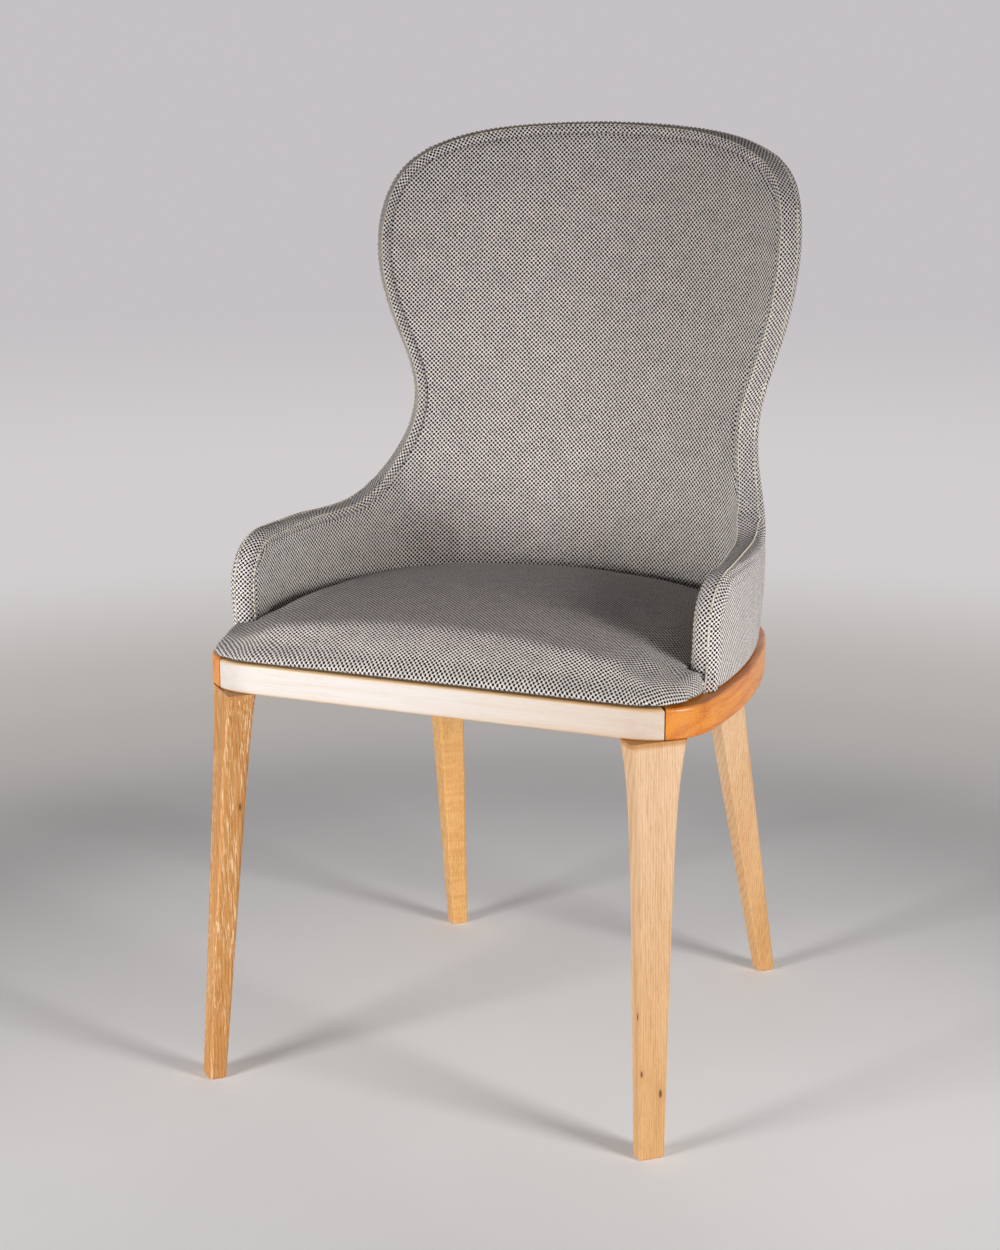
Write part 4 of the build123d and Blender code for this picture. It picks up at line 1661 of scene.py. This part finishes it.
    def lay_weave(self, pad: bpy.types.Object) -> None:
        """Weave map that runs over the dome and down the walls.

        Args:
            pad: Cushion to map.
        """
        places, normals = vertex_array(pad.data), normal_array(pad.data)
        off = places[:, 0] ** 2 + (places[:, 1] - self.crown_y) ** 2
        crown = self.crown_top - self.crown_r + np.sqrt(self.crown_r**2 - off)
        drop = np.maximum(crown - places[:, 2], 0.0)
        level = np.linalg.norm(normals[:, :2], axis=1, keepdims=True)
        sideways = normals[:, :2] / np.maximum(level, TINY) * smooth_step(level, 0.15, 0.5)
        set_weave(pad.data, places[:, :2] + sideways * drop[:, None])


# Whole chair and studio


@dataclass
class Upholstery:
    """All cloth pieces of the chair."""

    nodes: dict[str, bpy.types.Object]
    tub: TubForm = field(default_factory=TubForm)

    def dress(self, piece: bpy.types.Object, finish: ClothFinish, slot: str, fill: float, *stands_for: str) -> None:
        """Give a padded piece its cloth and its place in the frame.

        Args:
            piece: Piece to dress.
            finish: Cloth to use.
            slot: Material slot name, not used.
            fill: How full the padding is, not used.
            *stands_for: Nodes that the piece replaces.
        """
        piece.data.materials.clear()
        piece.data.materials.append(finish.material())
        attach(piece, BODY)
        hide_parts(*stands_for)
        LOG.info("%s: %d faces", piece.name, len(piece.data.polygons))

    def build(self) -> None:
        """Build and dress every cloth piece."""
        band = EdgeBand(RimForm(self.tub))
        inside = BackPanel("inside_back_panel", PanelFace.INSIDE, band, foot=0.4412).build()
        cloth = ClothFinish("inside_back_cloth")
        self.dress(inside, cloth, "back_fabric", 0.7, "inside_back_cover", "inside_back_foam")
        outside = BackPanel(
            "outside_back_panel", PanelFace.OUTSIDE, band, foot=0.4228, roll=0.005, edge_roll=band.outer_roll,
            depth=0.003,
        ).build()
        cloth = ClothFinish("outside_back_cloth")
        self.dress(outside, cloth, "back_fabric", 0.6, "outside_back_cover", "outside_back_padding")
        strip = band.build()
        self.dress(strip, ClothFinish("edge_band_weave"), "band_fabric", 0.8, "edge_band")
        stitches = Topstitching(band).build(Plain.THREAD.value.material())
        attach(stitches, BODY)
        LOG.info("%s: %d faces", stitches.name, len(stitches.data.polygons))
        cushion = SeatCushion(self.nodes, self.tub).build()
        # Seat cloth: the back's weave with dimmer pale yarns, painted shade for the lower light on the seat.
        cloth = ClothFinish("seat_cloth_painted_shade", pale=(226.0, 219.0, 215.0))
        self.dress(cushion, cloth, "seat_fabric", 0.85, "seat_cover", "seat_foam")


@dataclass
class WoodAndHardware:
    """Finishes of the pieces that keep their CAD form."""

    nodes: dict[str, bpy.types.Object]

    def dress(self) -> None:
        """Give every remaining node its own material."""
        woods = {
            # Front rail wood with a painted highlight on its face.
            Wood.RAIL_PAINTED_HIGHLIGHT: ("front_rail",),
            Wood.RED_RAIL: ("left_side_rail", "right_side_rail", "rear_rail"),
            Wood.FLECKED_LEG: ("front_left_leg",),
            Wood.STRAIGHT_LEG: ("front_right_leg", "rear_right_leg"),
            Wood.CURLY_LEG: ("rear_left_leg",),
            Wood.RAW_BLOCK: (
                "rail_dowels", "leg_dowels", "front_left_corner_block", "front_right_corner_block",
                "rear_left_corner_block", "rear_right_corner_block",
            ),
            # Seat board and back shell take the dark plywood, painted shade in the gaps.
            Wood.PLY: ("seat_board", "back_shell"),
        }
        for wood, names in woods.items():
            self.paint(wood.value.material(), names)
        self.paint(Plain.ZINC.value.material(), ("leg_bolts", "leg_inserts", "seat_board_screws", "back_shell_screws"))
        self.paint(Plain.FELT.value.material(), ("dust_cloth",))

    def paint(self, material: bpy.types.Material, names: Sequence[str]) -> None:
        """Put a material in every slot of some nodes.

        Args:
            material: Material to use.
            names: Node names.
        """
        for name in names:
            node = self.nodes[name]
            if not node.material_slots:
                node.data.materials.append(material)
            for slot in node.material_slots:
                slot.material = material
            LOG.info("%s: %s", name, material.name)


@dataclass
class Studio:
    """Floor, lamps and camera."""

    floor_radius: float = 9.0
    target: Colour = (0.0, -0.060, 0.44269)
    azimuth: float = math.radians(23.373)
    elevation: float = math.radians(13.806)
    distance: float = 2.466
    lens: float = 72.0
    left_power: float = 6.3
    right_power: float = 5.5
    lamp_reach: float = 2.13
    left_height: float = 0.50
    right_height: float = 0.78
    lamp_aim: float = 0.06
    lamp_width: float = 0.60
    lamp_length: float = 0.90
    lamp_spread: float = math.radians(64.0)
    sky_front: float = 0.04
    sky_rear: float = 0.80
    right_azimuth: float = math.radians(72.8)
    left_azimuth: float = math.radians(-26.5)
    # Emission colour of the near floor: painted light that brightens the floor, its shadows included.
    floor_painted_glow: Colour = (250, 248, 248)
    # Rings of the floor's glowing tone; the darker ring from 0.9 to 1.35 m is painted shade.
    floor_rings: tuple[tuple[float, float, Colour], ...] = (
        (0.5, 0.95, (202, 198, 197)), (0.9, 1.35, (180, 176, 172)), (1.35, 2.4, (210, 206, 207)),
        (3.0, 6.5, (197, 193, 196)),
    )

    def direction(self, azimuth: float, elevation: float) -> Vector:
        """Unit direction from the chair to a place round it.

        Args:
            azimuth: Angle round from the front, positive to +X.
            elevation: Angle above the floor.

        Returns:
            The direction.
        """
        level = math.cos(elevation)
        return Vector((math.sin(azimuth) * level, -math.cos(azimuth) * level, math.sin(elevation)))

    def build(self) -> None:
        """Build floor, lamps, sky and camera."""
        self.floor()
        self.lamp("right_key", self.right_azimuth, self.right_height, self.right_power)
        self.lamp("left_key", self.left_azimuth, self.left_height, self.left_power)
        self.surround()
        camera = bpy.data.cameras.new("photo_view")
        camera.lens = self.lens
        camera.sensor_width = 36.0
        holder = bpy.data.objects.new("photo_view", camera)
        away = self.direction(self.azimuth, self.elevation)
        holder.location = Vector(self.target) + away * self.distance
        holder.rotation_euler = (-away).to_track_quat("-Z", "Y").to_euler()
        bpy.context.scene.collection.objects.link(holder)
        bpy.context.scene.camera = holder
        bpy.context.scene.view_settings.view_transform = "Standard"

    def surround(self) -> None:
        """World that lights softly and shows a plain pale backdrop."""
        world = bpy.data.worlds.new("studio")
        world.use_nodes = True
        world.node_tree.nodes.clear()
        kit = NodeKit(world.node_tree)
        rays = kit.add("ShaderNodeLightPath").outputs
        seen = kit.math("MAXIMUM", rays["Is Camera Ray"], rays["Is Glossy Ray"])
        seen = kit.math("MAXIMUM", seen, rays["Is Transmission Ray"])
        heading = kit.parts(kit.add("ShaderNodeTexCoord").outputs["Generated"])[1]
        strength = kit.ease(heading, 0.25, 0.95, self.sky_front, self.sky_rear)
        light = kit.add("ShaderNodeBackground", {"Color": srgb(228, 226, 226), "Strength": strength})
        wall = kit.add("ShaderNodeBackground", {"Color": srgb(197, 193, 196)})
        blend = kit.add("ShaderNodeMixShader", {0: seen, 1: light.outputs[0], 2: wall.outputs[0]})
        kit.add("ShaderNodeOutputWorld", {"Surface": blend.outputs[0]})
        bpy.context.scene.world = world

    def lamp(self, name: str, azimuth: float, height: float, power: float) -> None:
        """Low, tall soft lamp that looks at the chair.

        Args:
            name: Name of the lamp.
            azimuth: Angle round from the front.
            height: Height of its middle above the floor.
            power: Power in watts.
        """
        light = bpy.data.lights.new(name, "AREA")
        light.shape = "RECTANGLE"
        light.size, light.size_y = self.lamp_width, self.lamp_length
        light.spread = self.lamp_spread
        light.energy = power
        light.color = (1.0, 0.99, 0.975)
        holder = bpy.data.objects.new(name, light)
        holder.location = self.direction(azimuth, 0.0) * self.lamp_reach
        holder.location.z = height
        facing = Vector((0.0, 0.0, self.lamp_aim)) - holder.location
        holder.rotation_euler = facing.to_track_quat("-Z", "Y").to_euler()
        bpy.context.scene.collection.objects.link(holder)

    def floor(self) -> None:
        """Round pale floor that fades into the backdrop's tone."""
        form = bmesh.new()
        bmesh.ops.create_circle(form, cap_ends=True, radius=self.floor_radius, segments=96)
        mesh = bpy.data.meshes.new("studio_floor")
        form.to_mesh(mesh)
        form.free()
        piece = new_object("studio_floor", mesh)
        piece.data.materials.append(self.floor_material())

    def floor_material(self) -> bpy.types.Material:
        """Material of the floor: a painted glow that brightens the near floor and grows into the backdrop's tone, with
        a darker ring painted in as the shade of a bend towards the backdrop.
        """
        material, kit, shader = blank_material("studio_paper")
        place = kit.place()
        reach = kit.length(place)
        mottle = kit.ease(kit.noise(place, 3.0, 3.0), 0.3, 0.7)
        near = kit.mix(mottle, srgb(236, 235, 236), srgb(241, 240, 241))
        kit.fill(shader, {"Base Color": near, "Roughness": 0.85})
        tone = srgb(*self.floor_painted_glow)
        for start, end, next_tone in self.floor_rings:
            tone = kit.mix(kit.ease(reach, start, end), tone, srgb(*next_tone))
        glow = kit.add("ShaderNodeEmission", {"Color": tone})
        # Painted light: a tenth of the near floor is glow, rising to all glow beyond 1.45 m.
        share = kit.ease(reach, 0.75, 1.45, 0.1, 1.0)
        blend = kit.add("ShaderNodeMixShader", {0: share, 1: shader.outputs[0], 2: glow.outputs[0]})
        output = next(node for node in material.node_tree.nodes if node.type == "OUTPUT_MATERIAL")
        kit.feed(output.inputs["Surface"], blend.outputs[0])
        return material


def main() -> None:
    """Build the studio, the wood and the upholstery in order."""
    logging.basicConfig(level=logging.INFO, format="%(name)s %(message)s")
    nodes = frame["nodes"]
    Studio().build()
    WoodAndHardware(nodes).dress()
    Upholstery(nodes).build()


if __name__ == "__main__":
    main()
